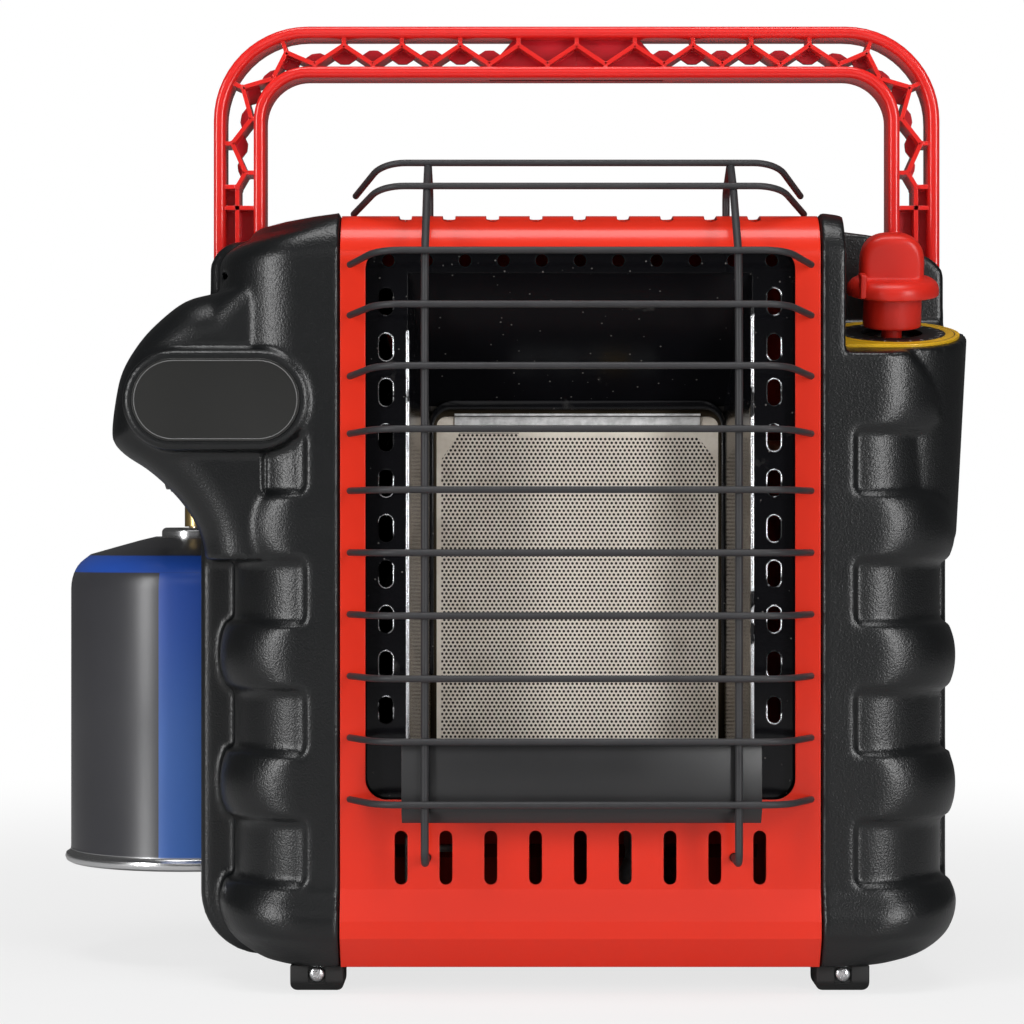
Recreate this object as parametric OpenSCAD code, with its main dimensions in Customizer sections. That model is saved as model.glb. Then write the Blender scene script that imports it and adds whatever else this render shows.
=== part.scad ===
// Portable propane heater: a red sheet steel case between two black end panels,
// a ceramic burner tile behind a wire guard, a folding carrying handle, and a
// screw-on gas canister on a swivelling regulator.
// All parts are drawn about the middle of the case front, then moved so that the
// origin lies on the floor under the middle of the whole object.

/* [Case] */
// Width of the red case between the end panels
case_w = 183.4; // [170:0.2:200]
// Depth of the case from its front face to its back
case_d = 150; // [146:1:170]
// Height of the case top above the floor
case_top = 299; // [296:1:302]
// Height of the underside of the case above the floor
base_z = 10; // [8:0.5:13]
// Thickness of the sheet steel
sheet_t = 1; // [0.6:0.1:1.4]
// Radius of the bend from the front face to the top
top_bend_r = 18; // [12:1:22]
// How far the toe of the case kicks forward
toe_reach = 3.5; // [1:0.5:5]
// Height of the toe's upper bend
toe_z = 40.5; // [36:0.5:42]

/* [Window] */
// Width of the window in the front face
window_w = 164; // [150:1:166]
// Height of the window's lower edge
window_low = 74.5; // [70:0.5:78]
// Height of the window's upper edge
window_high = 285; // [276:0.5:287]
// Corner radius of the window
window_r = 8; // [4:0.5:12]

/* [Vents] */
// Number of vent slots in each front row
vent_n = 9; // [5:2:9]
// Distance between the lower slots
vent_pitch = 17.1; // [12:0.1:18]
// Width of a vent slot
vent_w = 4.9; // [3:0.1:6]
// Length of a lower vent slot
vent_h = 20.6; // [12:0.2:21]
// Height of the middle of the lower slots
vent_z = 52.4; // [52:0.2:56]
// Number of louvre slots in each column of the back panel
louvre_n = 9; // [4:1:10]
// Distance between the louvre slots
louvre_pitch = 12; // [9:0.5:13]

/* [End panels] */
// Reach of an end panel from the side of the case
panel_w = 55.5; // [52:0.5:57]
// Wall of the moulded panels
panel_t = 3; // [2:0.1:3.5]
// Radius of the front outer corner, seen from above
panel_corner_r = 34; // [26:1:36]
// Radius of the lower outer corner, seen from the front
panel_foot_r = 25; // [18:1:28]
// Radius of the upper outer corner, seen from the front
panel_top_r = 12; // [8:1:13]
// Gap between the case and an end panel
seam = 0.3; // [0.2:0.1:0.5]
// Height of a finger recess
pad_h = 25; // [18:1:28]
// Depth of a finger recess at the front
pad_deep = 2; // [1:0.1:2.4]
// Depth of a finger recess at the side
pad_side = 5.8; // [3:0.1:7]
// Distance between finger recesses
pad_pitch = 49.9; // [46:0.1:51]
// Height of the middle of the lowest finger recess
pad_z = 54; // [52:0.5:56]

/* [Handle] */
// Distance of the handle's sides inside the sides of the end panels
handle_in = 1; // [0.5:0.5:3.5]
// Width of the truss band
handle_band = 20.7; // [18:0.1:21]
// Height of the top of the handle
handle_top = 381; // [372:1:386]
// Depth of the handle, front to back
handle_d = 18; // [14:1:19]
// Outer corner radius
handle_r = 38; // [34:1:42]
// Thickness of the outer and inner rails
rail_t = 4.6; // [3.6:0.1:5]
// Thickness of the zigzag ribs
rib_t = 1.7; // [1.2:0.1:2.2]
// Thickness of the middle web
web_t = 2; // [1.2:0.1:3]
// Height of the handle pivots
pivot_z = 278; // [276:0.5:279]
// Distance of the handle pivots behind the front face
pivot_y = 75; // [74:0.5:80]
// Diameter of the pivot pins
pivot_d = 6; // [5:0.1:7]

/* [Guard] */
// Diameter of the guard's cross wires
wire_d = 2.6; // [2:0.1:3]
// Diameter of the guard's uprights
upright_d = 3; // [2.4:0.1:3.4]
// Distance of the cross wires in front of the case
guard_reach = 27; // [25:0.5:29]
// Half of the length of a cross wire
guard_half = 88.2; // [86:0.2:90]
// Distance between the lower cross wires
guard_pitch = 23.5; // [22:0.1:23.8]
// Height of the lowest cross wire
guard_low = 74.8; // [72:0.2:76]
// Half of the distance between the uprights
upright_x = 58.7; // [50:0.1:62]
// Width of the shield plate
shield_w = 135; // [126:1:140]

/* [Burner] */
// Width of the ceramic tile
tile_w = 115; // [100:1:117]
// Height of the ceramic tile
tile_h = 135; // [120:1:137]
// Thickness of the ceramic tile
tile_t = 13; // [10:0.5:15]
// Height of the tile's lower edge
tile_z = 90; // [89:0.5:92]
// Distance of the tile's face behind the front face
tile_y = 55; // [50:0.5:58]
// Depth of the plenum box behind the tile
plenum_d = 24; // [18:1:28]

/* [Knob] */
// Distance of the knob's axis inside the side of its end panel
knob_in = 24.5; // [23.5:0.5:26.5]
// Distance of the knob's axis behind the front face
knob_y = 35; // [34:0.5:36]
// Height of the ledge at the knob's axis
ledge_z = 254; // [250:0.5:256]
// Lean of the knob towards the front, in degrees
knob_lean = 14; // [10:0.5:16]
// Radius of the dial plate
dial_r = 26.5; // [22:0.5:27]
// Diameter of the knob's flange
knob_d = 35.4; // [30:0.2:38]
// Diameter of the valve stem
stem_d = 8; // [6:0.1:9]
// Travel of the knob when it is pushed in
knob_travel = 4; // [2:0.5:4.5]

/* [Gas] */
// Diameter of the gas canister
can_d = 110; // [106:1:111]
// Distance of the canister's axis beyond the side of its end panel
can_out = 10.5; // [9.5:0.5:12.5]
// Distance of the canister's axis behind the front face
can_y = 117; // [115:0.5:118]
// Height of the canister's lower rim
can_z = 40; // [34:1:44]
// Height of the canister's shoulder
can_top = 167; // [164:0.5:168]
// Wall of the canister
can_t = 0.6; // [0.4:0.1:1]
// Height of the regulator's swivel axis
swivel_z = 212; // [210:0.5:213]
// Radius of the regulator body
regulator_r = 18; // [14:0.5:18.5]
// Outside diameter of the gas pipes
pipe_d = 8; // [6:0.5:9]

/* [Feet] */
// Width of a foot
foot_w = 20.5; // [16:0.5:22]
// Length of a foot
foot_l = 24; // [18:1:28]

/* [Hidden] */
$fn = 64;

// The case, in distances from the middle of its front face
half = case_w / 2;
toe_mid_z = toe_z - 12.2;
toe_low_z = toe_z - 18.7;
toe_back = 5;
toe_return = 14;
hook_z = vent_z;
hook_y = 45;
top_vent_pitch = vent_pitch - 0.3;
top_vent_l = 22;
top_vent_y = 19;
hole_play = 0.3;

// The end panels and the forms that grow out of them
panel_in = half + seam;
panel_out = panel_in + panel_w;
handle_half = panel_out - handle_in;
knob_x = panel_out - knob_in;
can_x = panel_out + can_out;
left_out = panel_out + 1.5;
left_grip_out = panel_out - 7;
left_step_y = 38;
proud = 1;
shoulder_z = case_top - 5;
panel_rear_r = 12;
lip_w = 4;
lip_t = 2;
pad_x = panel_out - 41.5;
pad_n = 4;
pad_back = 56;
pocket_x = handle_half - handle_band - seam;
pivot_head_d = pivot_d + 4;
pocket_y = pivot_y - handle_d / 2 - 1;
pocket_z = pivot_z - handle_d / 2 - 3;
niche_x = knob_x - dial_r - 1;
niche_y = pocket_y - panel_t;
housing_r = dial_r + 3.5;
housing_low = 171;
left_top_out = panel_out - 2.2;
hood_x = panel_out - 13.5;
hood_z = 221.5;
hood_r = 47.2;
hood_y = 5;
hood_edge = 17;
sweep_x = panel_out + 41.5;
sweep_z = 163.5;
sweep_r = 43.3;
boss_x = panel_out - 8.5;
boss_z = 227;
boss_w = 71.7;
boss_h = 38.9;
boss_y = -3;
boss_back = 12;
badge_w = 64;
badge_h = 31.6;
badge_t = 1;

// The screws in the back
back_screw_d = 3.4;
back_screw_places = [for (x = [-half + 8, 0, half - 8], z = [base_z + 12, case_top - 14]) [x, z]];
panel_screw_d = 2.8;
panel_screw_x = panel_in + 4;
panel_screw_z = [base_z + 40, base_z + 120];

// The canister and the room that it hangs in
can_r = can_d / 2;
rim_r = can_r + 0.8;
recess_r = can_r + 4;
recess_top = 185;
inlet_d = 11;
inlet_bottom = 179;
collar_r = 15;

// The middle of the whole object, measured from the middle of the case front
mid_x = (knob_x + housing_r - can_x - rim_r) / 2;
mid_y = (can_y + rim_r - guard_reach - wire_d / 2) / 2;

// Moves a piece from the case's own place to the place about the object's middle
module place() {
    translate([-mid_x, -mid_y, 0]) children();
}

// Extrudes an outline drawn in depth and height along the width
module along_x(x0, x1) {
    translate([x0, 0, 0]) rotate([90, 0, 90]) linear_extrude(x1 - x0) children();
}

// Extrudes an outline drawn in width and height along the depth
module along_y(y0, y1) {
    translate([0, y1, 0]) rotate([90, 0, 0]) linear_extrude(y1 - y0) children();
}

// Extrudes an outline drawn in width and depth along the height
module along_z(z0, z1) {
    translate([0, 0, z0]) linear_extrude(z1 - z0) children();
}

// A rectangle with round corners between two corner points
module rounded(p, q, r) {
    translate([p[0] + r, p[1]]) square([q[0] - p[0] - 2 * r, q[1] - p[1]]);
    translate([p[0], p[1] + r]) square([q[0] - p[0], q[1] - p[1] - 2 * r]);
    for (x = [p[0] + r, q[0] - r], y = [p[1] + r, q[1] - r])
        translate([x, y]) circle(r = r);
}

// A slot with round ends, w wide and h long
module slot2d(w, h) {
    square([w, h - w], center = true);
    for (s = [-1, 1]) translate([0, s * (h - w) / 2]) circle(d = w);
}

function unit(v) = v / norm(v);

// One corner of a path, rounded: three points on a curve between its two legs
function rounded_corner(before, at, after, bend) =
    let (p = at + unit(before - at) * min(bend, norm(before - at) * 0.49),
         q = at + unit(after - at) * min(bend, norm(after - at) * 0.49))
    [for (k = [0, 0.3, 0.7, 1]) (1 - k) * (1 - k) * p + 2 * k * (1 - k) * at + k * k * q];

// A path with all its inner corners rounded
function bent(points, bend) = concat(
    [points[0]],
    [for (i = [1 : 1 : len(points) - 2])
        each rounded_corner(points[i - 1], points[i], points[i + 1], bend)],
    [points[len(points) - 1]]);

// The direction of a path at each of its points
function headings(path) = [for (i = [0 : len(path) - 1])
    unit((i > 0 ? unit(path[i] - path[i - 1]) : [0, 0, 0])
         + (i < len(path) - 1 ? unit(path[i + 1] - path[i]) : [0, 0, 0]))];

// A side vector for each point, carried along the path without twisting
function sides(ways, i, side) = i >= len(ways) ? []
    : let (flat = unit(side - (side * ways[i]) * ways[i]))
      concat([flat], sides(ways, i + 1, flat));

// A round rod bent along a run of points
module rod(points, d, bend = 10, n = 8) {
    path = bent(points, bend);
    ways = headings(path);
    first = abs(ways[0][2]) > 0.9 ? [1, 0, 0] : [0, 0, 1];
    across = sides(ways, 0, first);
    rings = [for (i = [0 : len(path) - 1], k = [0 : n - 1])
        path[i] + d / 2 * (cos(360 * k / n) * across[i]
                           + sin(360 * k / n) * cross(ways[i], across[i]))];
    last = n * (len(path) - 1);
    walls = [for (i = [0 : len(path) - 2], k = [0 : n - 1])
        [i * n + k, (i + 1) * n + k, (i + 1) * n + (k + 1) % n, i * n + (k + 1) % n]];
    polyhedron(points = rings, faces = concat(
        [[for (k = [0 : n - 1]) k]], walls, [[for (k = [n - 1 : -1 : 0]) last + k]]));
}

// A plain screw: a domed head and a short shank, pointing down from the head
module screw(head_d, shank_d, length) {
    intersection() {
        cylinder(d = head_d, h = head_d / 3);
        translate([0, 0, -head_d * 0.45]) sphere(r = head_d * 0.72);
    }
    translate([0, 0, -length]) cylinder(d = shank_d, h = length + 0.1);
}

// The case seen from the side, in depth and height, drawn in by an inset
module case_form(inset) {
    bend_z = case_top - top_bend_r;
    translate([inset, toe_z]) square([case_d - 2 * inset, bend_z - toe_z]);
    translate([top_bend_r, toe_z])
        square([case_d - inset - top_bend_r, case_top - inset - toe_z]);
    translate([top_bend_r, bend_z]) circle(r = top_bend_r - inset, $fn = 96);
    polygon([[inset, toe_z], [inset - toe_reach, toe_mid_z], [inset - toe_reach, toe_low_z],
             [toe_back + inset, base_z + inset], [case_d - inset, base_z + inset],
             [case_d - inset, toe_z]]);
}

// Everything in the places of the two hooks of each upright
module hook_holes(d) {
    for (s = [-1, 1]) {
        translate([s * upright_x, 10, hook_z]) rotate([90, 0, 0]) cylinder(d = d, h = 20);
        translate([s * upright_x, hook_y, case_top - 6]) cylinder(d = d, h = 10);
    }
}

module front_case() place() color("#e1301c") difference() {
    along_x(-half, half) difference() {
        case_form(0);
        case_form(sheet_t);
        translate([toe_return, base_z - 1]) square([case_d, sheet_t + 1.2]);
        translate([case_d - sheet_t, base_z - 1]) square([sheet_t + 1, case_top]);
    }
    along_y(-1, top_bend_r)
        rounded([-window_w / 2, window_low], [window_w / 2, window_high], window_r);
    for (i = [0 : vent_n - 1]) {
        step = i - (vent_n - 1) / 2;
        along_y(-toe_reach - 1, sheet_t + 1)
            translate([step * vent_pitch, vent_z]) slot2d(vent_w, vent_h);
        along_z(case_top - top_bend_r, case_top + 1)
            translate([step * top_vent_pitch, top_vent_y]) slot2d(vent_w, top_vent_l);
    }
    hook_holes(upright_d + 2 * hole_play);
}

module back_panel() place() color("#a32415") difference() {
    along_y(case_d - sheet_t, case_d) difference() {
        translate([-half, base_z]) square([case_w, case_top - base_z]);
        for (side = [-1, 1], i = [0 : louvre_n - 1])
            translate([side * half / 2, case_top - 30 - i * louvre_pitch])
                rotate(90) slot2d(4, half * 0.72);
        for (side = [-1, 1], i = [0 : 3])
            translate([side * half / 2, base_z + 30 + i * louvre_pitch])
                rotate(90) slot2d(4, half * 0.72);
        for (p = back_screw_places)
            translate([p[0], p[1]]) circle(d = back_screw_d + 2 * hole_play, $fn = 32);
    }
}

module base_plate() place() color("#8c8f92")
    difference() {
        translate([-half, toe_return, base_z])
            cube([case_w, case_d - sheet_t - toe_return, sheet_t]);
        for (i = [-2 : 2])
            along_z(base_z - 1, base_z + 2)
                translate([i * 22, case_d * 0.6]) slot2d(5, 46);
    }

// An end panel seen from the front, on the +X side, drawn in by an inset
module panel_front(inset, reach) {
    start = panel_in - (inset > 0 ? 1 : 0);
    low = base_z + inset;
    foot_x = reach - panel_foot_r;
    top_x = reach - panel_top_r;
    foot_z = base_z + panel_foot_r;
    top_z = shoulder_z - panel_top_r;
    out = reach - inset;
    polygon([[start, low], [foot_x, low], [foot_x, foot_z], [out, foot_z], [out, top_z],
             [top_x, top_z], [top_x, shoulder_z - inset], [start, case_top + proud - inset]]);
    translate([foot_x, foot_z]) circle(r = panel_foot_r - inset);
    translate([top_x, top_z]) circle(r = panel_top_r - inset);
}

// An end panel seen from above, on the +X side, drawn in by an inset
module panel_plan(inset, reach, rear) {
    start = panel_in - (inset > 0 ? 1 : 0);
    front = -proud - toe_reach;
    corner_x = reach - panel_corner_r;
    corner_y = front + panel_corner_r;
    rear_x = reach - panel_rear_r;
    polygon([[start, front + inset], [corner_x, front + inset], [corner_x, corner_y],
             [reach - inset, corner_y], [reach - inset, rear - panel_rear_r],
             [rear_x, rear - panel_rear_r], [rear_x, rear - inset], [start, rear - inset]]);
    translate([corner_x, corner_y]) circle(r = panel_corner_r - inset);
    translate([rear_x, rear - panel_rear_r]) circle(r = panel_rear_r - inset);
}

// The solid form of an end panel, before it is hollowed
module panel_form(inset, reach) {
    intersection() {
        along_y(-20, case_d + 5) panel_front(inset, reach);
        along_z(0, case_top + 5) panel_plan(inset, reach, case_d);
        along_x(panel_in - 5, reach + 5) case_form(inset - proud);
    }
}

// The hood over the regulator seen from the front, drawn in by an inset: a round top whose
// lower edge sweeps in to the panel's side above the canister
module hood_front(inset) {
    difference() {
        union() {
            translate([hood_x, hood_z]) circle(r = hood_r - inset, $fn = 128);
            translate([hood_x - 30, sweep_z + inset])
                square([sweep_x - hood_x + 19 - inset, hood_z - sweep_z - inset]);
        }
        translate([sweep_x, sweep_z]) circle(r = sweep_r + inset, $fn = 128);
    }
}

// The hood's widest round form, with a fully rounded front edge, drawn in by an inset
module hood_edge_profile(inset) {
    flat_r = hood_r - hood_edge;
    translate([0, hood_y + inset]) square([flat_r, case_d]);
    translate([0, hood_y + hood_edge]) square([2 * hood_r, case_d]);
    translate([flat_r, hood_y + hood_edge]) circle(r = hood_edge - inset, $fn = 96);
}

// The solid form of the hood, rounded at the front and open at the back when inset
module hood_form(inset) {
    intersection() {
        along_y(hood_y, case_d + (inset > 0 ? 1 : 0)) hood_front(inset);
        translate([hood_x, 0, hood_z]) rotate([-90, 0, 0])
            rotate_extrude($fn = 128) hood_edge_profile(inset);
        translate([panel_in - (inset > 0 ? 1 : 0), 0, 0])
            cube([2 * hood_x, case_d + 2, 2 * hood_z]);
    }
}

// The room for the canister, grown by a wall
module can_room(grow) {
    translate([can_x, can_y, -1]) cylinder(r = recess_r + grow, h = recess_top + grow + 1);
    translate([can_x - recess_r - grow, can_y, -1])
        cube([recess_r * 2, case_d, recess_top + grow + 1]);
}

// The pocket that a handle leg stands in and folds back along, grown by a wall. It is
// wider at the back, where the bow's corner comes down.
module leg_pocket(grow) {
    bow_y = pivot_y + handle_top - handle_r - pivot_z - 2;
    translate([pocket_x - grow, pocket_y - grow, pocket_z - grow])
        cube([60, case_d, case_top]);
    translate([handle_half - handle_r - grow, bow_y - grow, pocket_z - grow])
        cube([60, case_d, case_top]);
}

// The niche above the knob's ledge, grown by a wall
module knob_niche(grow) {
    intersection() {
        translate([knob_x, knob_y, ledge_z]) rotate([knob_lean, 0, 0])
            translate([niche_x - knob_x - grow, -100, -grow]) cube([120, 200, 120]);
        translate([0, -100, 0]) cube([300, 100 + niche_y + grow, case_top + 50]);
    }
}

// The floors of the finger recesses seen from above, drawn in by an inset
module pad_plan(inset, reach) {
    translate([0, toe_reach + pad_deep]) panel_plan(inset, reach - pad_side, case_d);
}

// The finger recesses over the front outer corner of a panel
module finger_pads(reach) {
    for (i = [0 : pad_n - 1])
        difference() {
            translate([pad_x, -20, pad_z + i * pad_pitch - pad_h / 2])
                cube([60, pad_back + 20, pad_h]);
            along_z(0, case_top) pad_plan(0, reach);
        }
}

// The space inside a panel: behind the recess floors in front, and wider at the back
module panel_hollow(reach) {
    intersection() {
        panel_form(panel_t, reach);
        union() {
            along_z(0, case_top + 5) pad_plan(panel_t, reach);
            translate([0, pad_back + panel_t, 0]) cube([200, case_d, case_top + 5]);
        }
    }
}

// The lip that reaches under the edge of the case
module panel_lip() {
    intersection() {
        along_x(panel_in - lip_w, panel_in + 3) difference() {
            case_form(sheet_t + seam);
            case_form(sheet_t + seam + lip_t);
        }
        translate([0, -20, toe_z]) cube([200, case_d + 10, case_top]);
    }
}

// The holes for the screws in a panel's rear wall
module panel_screw_holes() {
    for (z = panel_screw_z)
        translate([panel_screw_x, case_d + 1, z]) rotate([90, 0, 0])
            cylinder(d = panel_screw_d + 0.4, h = panel_t + 3, $fn = 32);
}

// The bore for a handle pivot through the pocket's inner wall, with room for its head
module pivot_bore(d) {
    translate([pocket_x - panel_t - 20, pivot_y, pivot_z]) rotate([0, 90, 0])
        cylinder(d = d, h = 80);
    translate([pocket_x - panel_t - 20, pivot_y, pivot_z]) rotate([0, 90, 0])
        cylinder(d = pivot_head_d + 2 * hole_play, h = 20);
}

module left_end_panel() place() color("#26282a") mirror([1, 0, 0]) {
    difference() {
        union() {
            difference() {
                panel_form(0, left_grip_out);
                finger_pads(left_grip_out);
            }
            intersection() {
                panel_form(0, left_out);
                translate([0, left_step_y, 0])
                    cube([left_out + 1, case_d, hood_z + hood_r * 0.85]);
            }
            intersection() {
                panel_form(0, left_top_out);
                translate([0, left_step_y, 0]) cube([left_out, case_d, case_top + 5]);
            }
            hood_form(0);
            along_y(boss_y, boss_back)
                rounded([boss_x - boss_w / 2, boss_z - boss_h / 2],
                        [boss_x + boss_w / 2, boss_z + boss_h / 2], boss_h / 2 - 0.1);
        }
        difference() {
            union() {
                panel_hollow(left_grip_out);
                intersection() {
                    panel_form(panel_t, left_top_out);
                    translate([0, left_step_y + panel_t, 0])
                        cube([left_out, case_d, case_top + 5]);
                }
                hood_form(panel_t);
            }
            can_room(panel_t);
            leg_pocket(panel_t);
        }
        can_room(0);
        leg_pocket(0);
        pivot_bore(pivot_d);
        panel_screw_holes();
        along_y(boss_y - 1, boss_y + badge_t)
            rounded([boss_x - badge_w / 2 - seam, boss_z - badge_h / 2 - seam],
                    [boss_x + badge_w / 2 + seam, boss_z + badge_h / 2 + seam],
                    badge_h / 2);
        translate([can_x - collar_r - 6, can_y - collar_r - 6, recess_top - 15])
            cube([2 * collar_r + 12, case_d, swivel_z - recess_top + 12]);
    }
    panel_lip();
}

module right_end_panel() place() color("#26282a") {
    difference() {
        union() {
            panel_form(0, panel_out);
            translate([knob_x, knob_y, housing_low])
                cylinder(r1 = housing_r - 5, r2 = housing_r, h = ledge_z - housing_low + 12);
        }
        difference() {
            union() {
                panel_hollow(panel_out);
                translate([knob_x, knob_y, housing_low + panel_t])
                    cylinder(r1 = housing_r - 5 - panel_t, r2 = housing_r - panel_t,
                             h = ledge_z - housing_low + 12);
            }
            leg_pocket(panel_t);
            knob_niche(panel_t);
        }
        leg_pocket(0);
        knob_niche(0);
        difference() {
            finger_pads(panel_out);
            translate([knob_x, knob_y, housing_low]) cylinder(r = housing_r, h = 100);
        }
        pivot_bore(pivot_d);
        panel_screw_holes();
        translate([knob_x, knob_y, ledge_z]) rotate([knob_lean, 0, 0])
            cylinder(d = skirt_d + 1.2, h = 20, center = true);
    }
    panel_lip();
}

module badge_plate() place() color("#34363a") mirror([1, 0, 0])
    along_y(boss_y - 0.2, boss_y + badge_t)
        rounded([boss_x - badge_w / 2, boss_z - badge_h / 2],
                [boss_x + badge_w / 2, boss_z + badge_h / 2], badge_h / 2 - 0.1);

// A flat bar between two points of the handle's outline
module bar2d(p, q, w) {
    translate(p) rotate(atan2(q[1] - p[1], q[0] - p[0]))
        translate([0, -w / 2]) square([norm(q - p), w]);
}

// The handle's outline from its feet to its top, drawn in by an inset
module bow_form(inset, below = 0) {
    out = handle_half - inset;
    r = handle_r - inset;
    low = pivot_z - below;
    translate([-out, low]) square([2 * out, handle_top - handle_r - low]);
    translate([-handle_half + handle_r, handle_top - handle_r - 1])
        square([2 * (handle_half - handle_r), handle_r + 1 - inset]);
    for (s = [-1, 1])
        translate([s * (handle_half - handle_r), handle_top - handle_r])
            circle(r = r, $fn = 96);
}

// The zigzag's corner points on the right half, from the middle of the bar to the leg
rib_high = handle_top - rail_t - 2.9;
rib_low = handle_top - handle_band + 5.4;
rib_n = 9;
rib_pitch = 2 * (handle_half - handle_r - 2.75) / rib_n;
bar_points = [for (i = [0 : rib_n]) [i * rib_pitch / 2, i % 2 == 0 ? rib_high : rib_low]];
corner_points = [[handle_half - 29.3, handle_top - 10.4], [handle_half - 23.9, handle_top - 21],
                 [handle_half - 11.7, handle_top - 24.6], [handle_half - 15.2, handle_top - 37.3],
                 [handle_half - 7.5, handle_top - 47.2], [handle_half - 12.8, handle_top - 59],
                 [handle_half - 9.5, handle_top - 64.7]];
zigzag = concat(bar_points, corner_points);
leg_rib_drop = 73.2;
leg_rib_z = handle_top - leg_rib_drop;
leg_mid_x = corner_points[6][0];

// The web's diamond in the bend of one corner of the zigzag
module diamond(i) {
    corner = zigzag[i];
    before = (corner + zigzag[i - 1]) / 2;
    after = (corner + zigzag[i + 1]) / 2;
    tip = before + after - corner;
    polygon([corner, before, before + (tip - before) * 0.7, tip + (corner - tip) * 0.14,
             after + (tip - after) * 0.7, after]);
}

module handle_web() {
    for (i = [3 : len(zigzag) - 2]) diamond(i);
    translate([0, handle_top - handle_band]) square([zigzag[3][0], handle_band - 2]);
    polygon([[zigzag[3][0], handle_top - handle_band], [zigzag[3][0], zigzag[3][1]],
             [zigzag[2][0], handle_top - 2], [zigzag[2][0], handle_top - handle_band]]);
    translate([leg_mid_x, leg_rib_z]) square([8, corner_points[6][1] - leg_rib_z]);
    translate([handle_half - handle_band, pivot_z]) square([handle_band, leg_rib_z - pivot_z]);
}

module handle_ribs() {
    for (i = [0 : len(zigzag) - 2]) bar2d(zigzag[i], zigzag[i + 1], rib_t);
    for (p = zigzag) translate(p) circle(d = rib_t * 1.3, $fn = 24);
    for (i = [0 : rib_n])
        bar2d(zigzag[i], [zigzag[i][0], i % 2 == 0 ? handle_top - 1 : rib_low - 4], rib_t);
    stub = rail_t + 3;
    bar2d(corner_points[0], corner_points[0] + [2.6, stub], rib_t);
    bar2d(corner_points[1], corner_points[1] + [-3.6, -2.8], rib_t);
    bar2d(corner_points[2], corner_points[2] + [stub, 3.5], rib_t);
    bar2d(corner_points[3], corner_points[3] + [-4.2, 0], rib_t);
    bar2d(corner_points[4], corner_points[4] + [5, 0], rib_t);
    bar2d(corner_points[5], corner_points[5] + [-5, 0], rib_t);
    bar2d(corner_points[6], [leg_mid_x, pivot_z], rib_t);
    bar2d(corner_points[6], [handle_half - 2, corner_points[6][1]], rib_t);
    bar2d([handle_half - handle_band + 1, leg_rib_z], [handle_half - 2, leg_rib_z], rib_t);
}

module handle() place() color("#e1301c") {
    rear = pivot_y + handle_d / 2;
    front = pivot_y - handle_d / 2;
    difference() {
        union() {
            along_y(front, rear) {
                difference() {
                    bow_form(0);
                    bow_form(rail_t, 1);
                }
                difference() {
                    bow_form(handle_band - rail_t);
                    bow_form(handle_band, 1);
                }
            }
            for (s = [0, 1]) mirror([s, 0, 0]) {
                along_y(front + 1, rear - 1) intersection() {
                    handle_ribs();
                    difference() {
                        bow_form(1);
                        bow_form(handle_band - 1, 1);
                    }
                }
                along_y(pivot_y - web_t / 2, pivot_y + web_t / 2) intersection() {
                    handle_web();
                    difference() {
                        bow_form(1);
                        bow_form(handle_band - 1, 1);
                    }
                }
                translate([handle_half - handle_band, pivot_y, pivot_z]) rotate([0, 90, 0])
                    cylinder(d = handle_d, h = handle_band);
            }
        }
        translate([-handle_half - 1, pivot_y, pivot_z]) rotate([0, 90, 0])
            cylinder(d = pivot_d + 0.12, h = 2 * handle_half + 2);
    }
}

module handle_pivots() place() color("#b9bcc0")
    for (s = [0, 1]) mirror([s, 0, 0])
        translate([pocket_x - panel_t, pivot_y, pivot_z]) rotate([0, 90, 0]) {
            cylinder(d = pivot_d, h = panel_t + seam + handle_band + 0.4);
            translate([0, 0, -2]) cylinder(d = pivot_head_d, h = 2);
        }

// Height, distance behind the front face, tilt and run back of each cross wire
guard_rows = concat(
    [for (i = [0 : 5]) [guard_low + i * guard_pitch, -guard_reach, 0, guard_reach - 1]],
    [[guard_low + 139.7, -guard_reach, 2, guard_reach - 1],
     [guard_low + 162.1, -guard_reach, 6, guard_reach - 1],
     [guard_low + 186.3, -guard_reach + 1, 6, guard_reach - 2.5],
     [guard_low + 207.2, -guard_reach + 4, 10, guard_reach - 5.5],
     [case_top + 10, 3, 19, 26], [case_top + 20.7, 18, 24, 26]]);
upright_back = (wire_d + upright_d) / 2;
upright_y = -guard_reach + upright_back;
end_straight = guard_half - 12;

module cross_wire(row) {
    translate([0, row[1], row[0]]) rotate([-row[2], 0, 0])
        rod([[-guard_half, row[3], 0], [-end_straight, 0, 0],
             [end_straight, 0, 0], [guard_half, row[3], 0]], wire_d);
}

module guard_cross_wires() place() color("#2b2c2e")
    for (row = guard_rows) cross_wire(row);

module guard_uprights() place() color("#2b2c2e")
    for (s = [-1, 1])
        translate([s * upright_x, 0, 0])
            rod([[0, sheet_t + 3, hook_z], [0, upright_y, hook_z],
                 [0, upright_y, guard_low + 164],
                 [0, guard_rows[8][1] + upright_back, guard_rows[8][0]],
                 [0, guard_rows[9][1] + upright_back, guard_rows[9][0]],
                 [0, guard_rows[10][1] + upright_back, guard_rows[10][0]],
                 [0, guard_rows[11][1] + upright_back, guard_rows[11][0]],
                 [0, hook_y, case_top + 12], [0, hook_y, case_top - 3]],
                upright_d, 5);

// The plate hangs behind the uprights, in front of the pilot flame
plate_front = upright_y + upright_d / 2;
plate_low = guard_low - 4;
plate_high = guard_low + guard_pitch - 1;
module shield_plate() place() color("#3a3b3d") {
    translate([-shield_w / 2, plate_front, plate_low])
        cube([shield_w, sheet_t, plate_high - plate_low]);
    translate([-shield_w / 2, plate_front, plate_low])
        cube([shield_w, 9, sheet_t]);
    for (s = [-1, 1])
        translate([s * shield_w / 2 - sheet_t / 2, plate_front, plate_low])
            cube([sheet_t, 7, plate_high - plate_low]);
}

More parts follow.
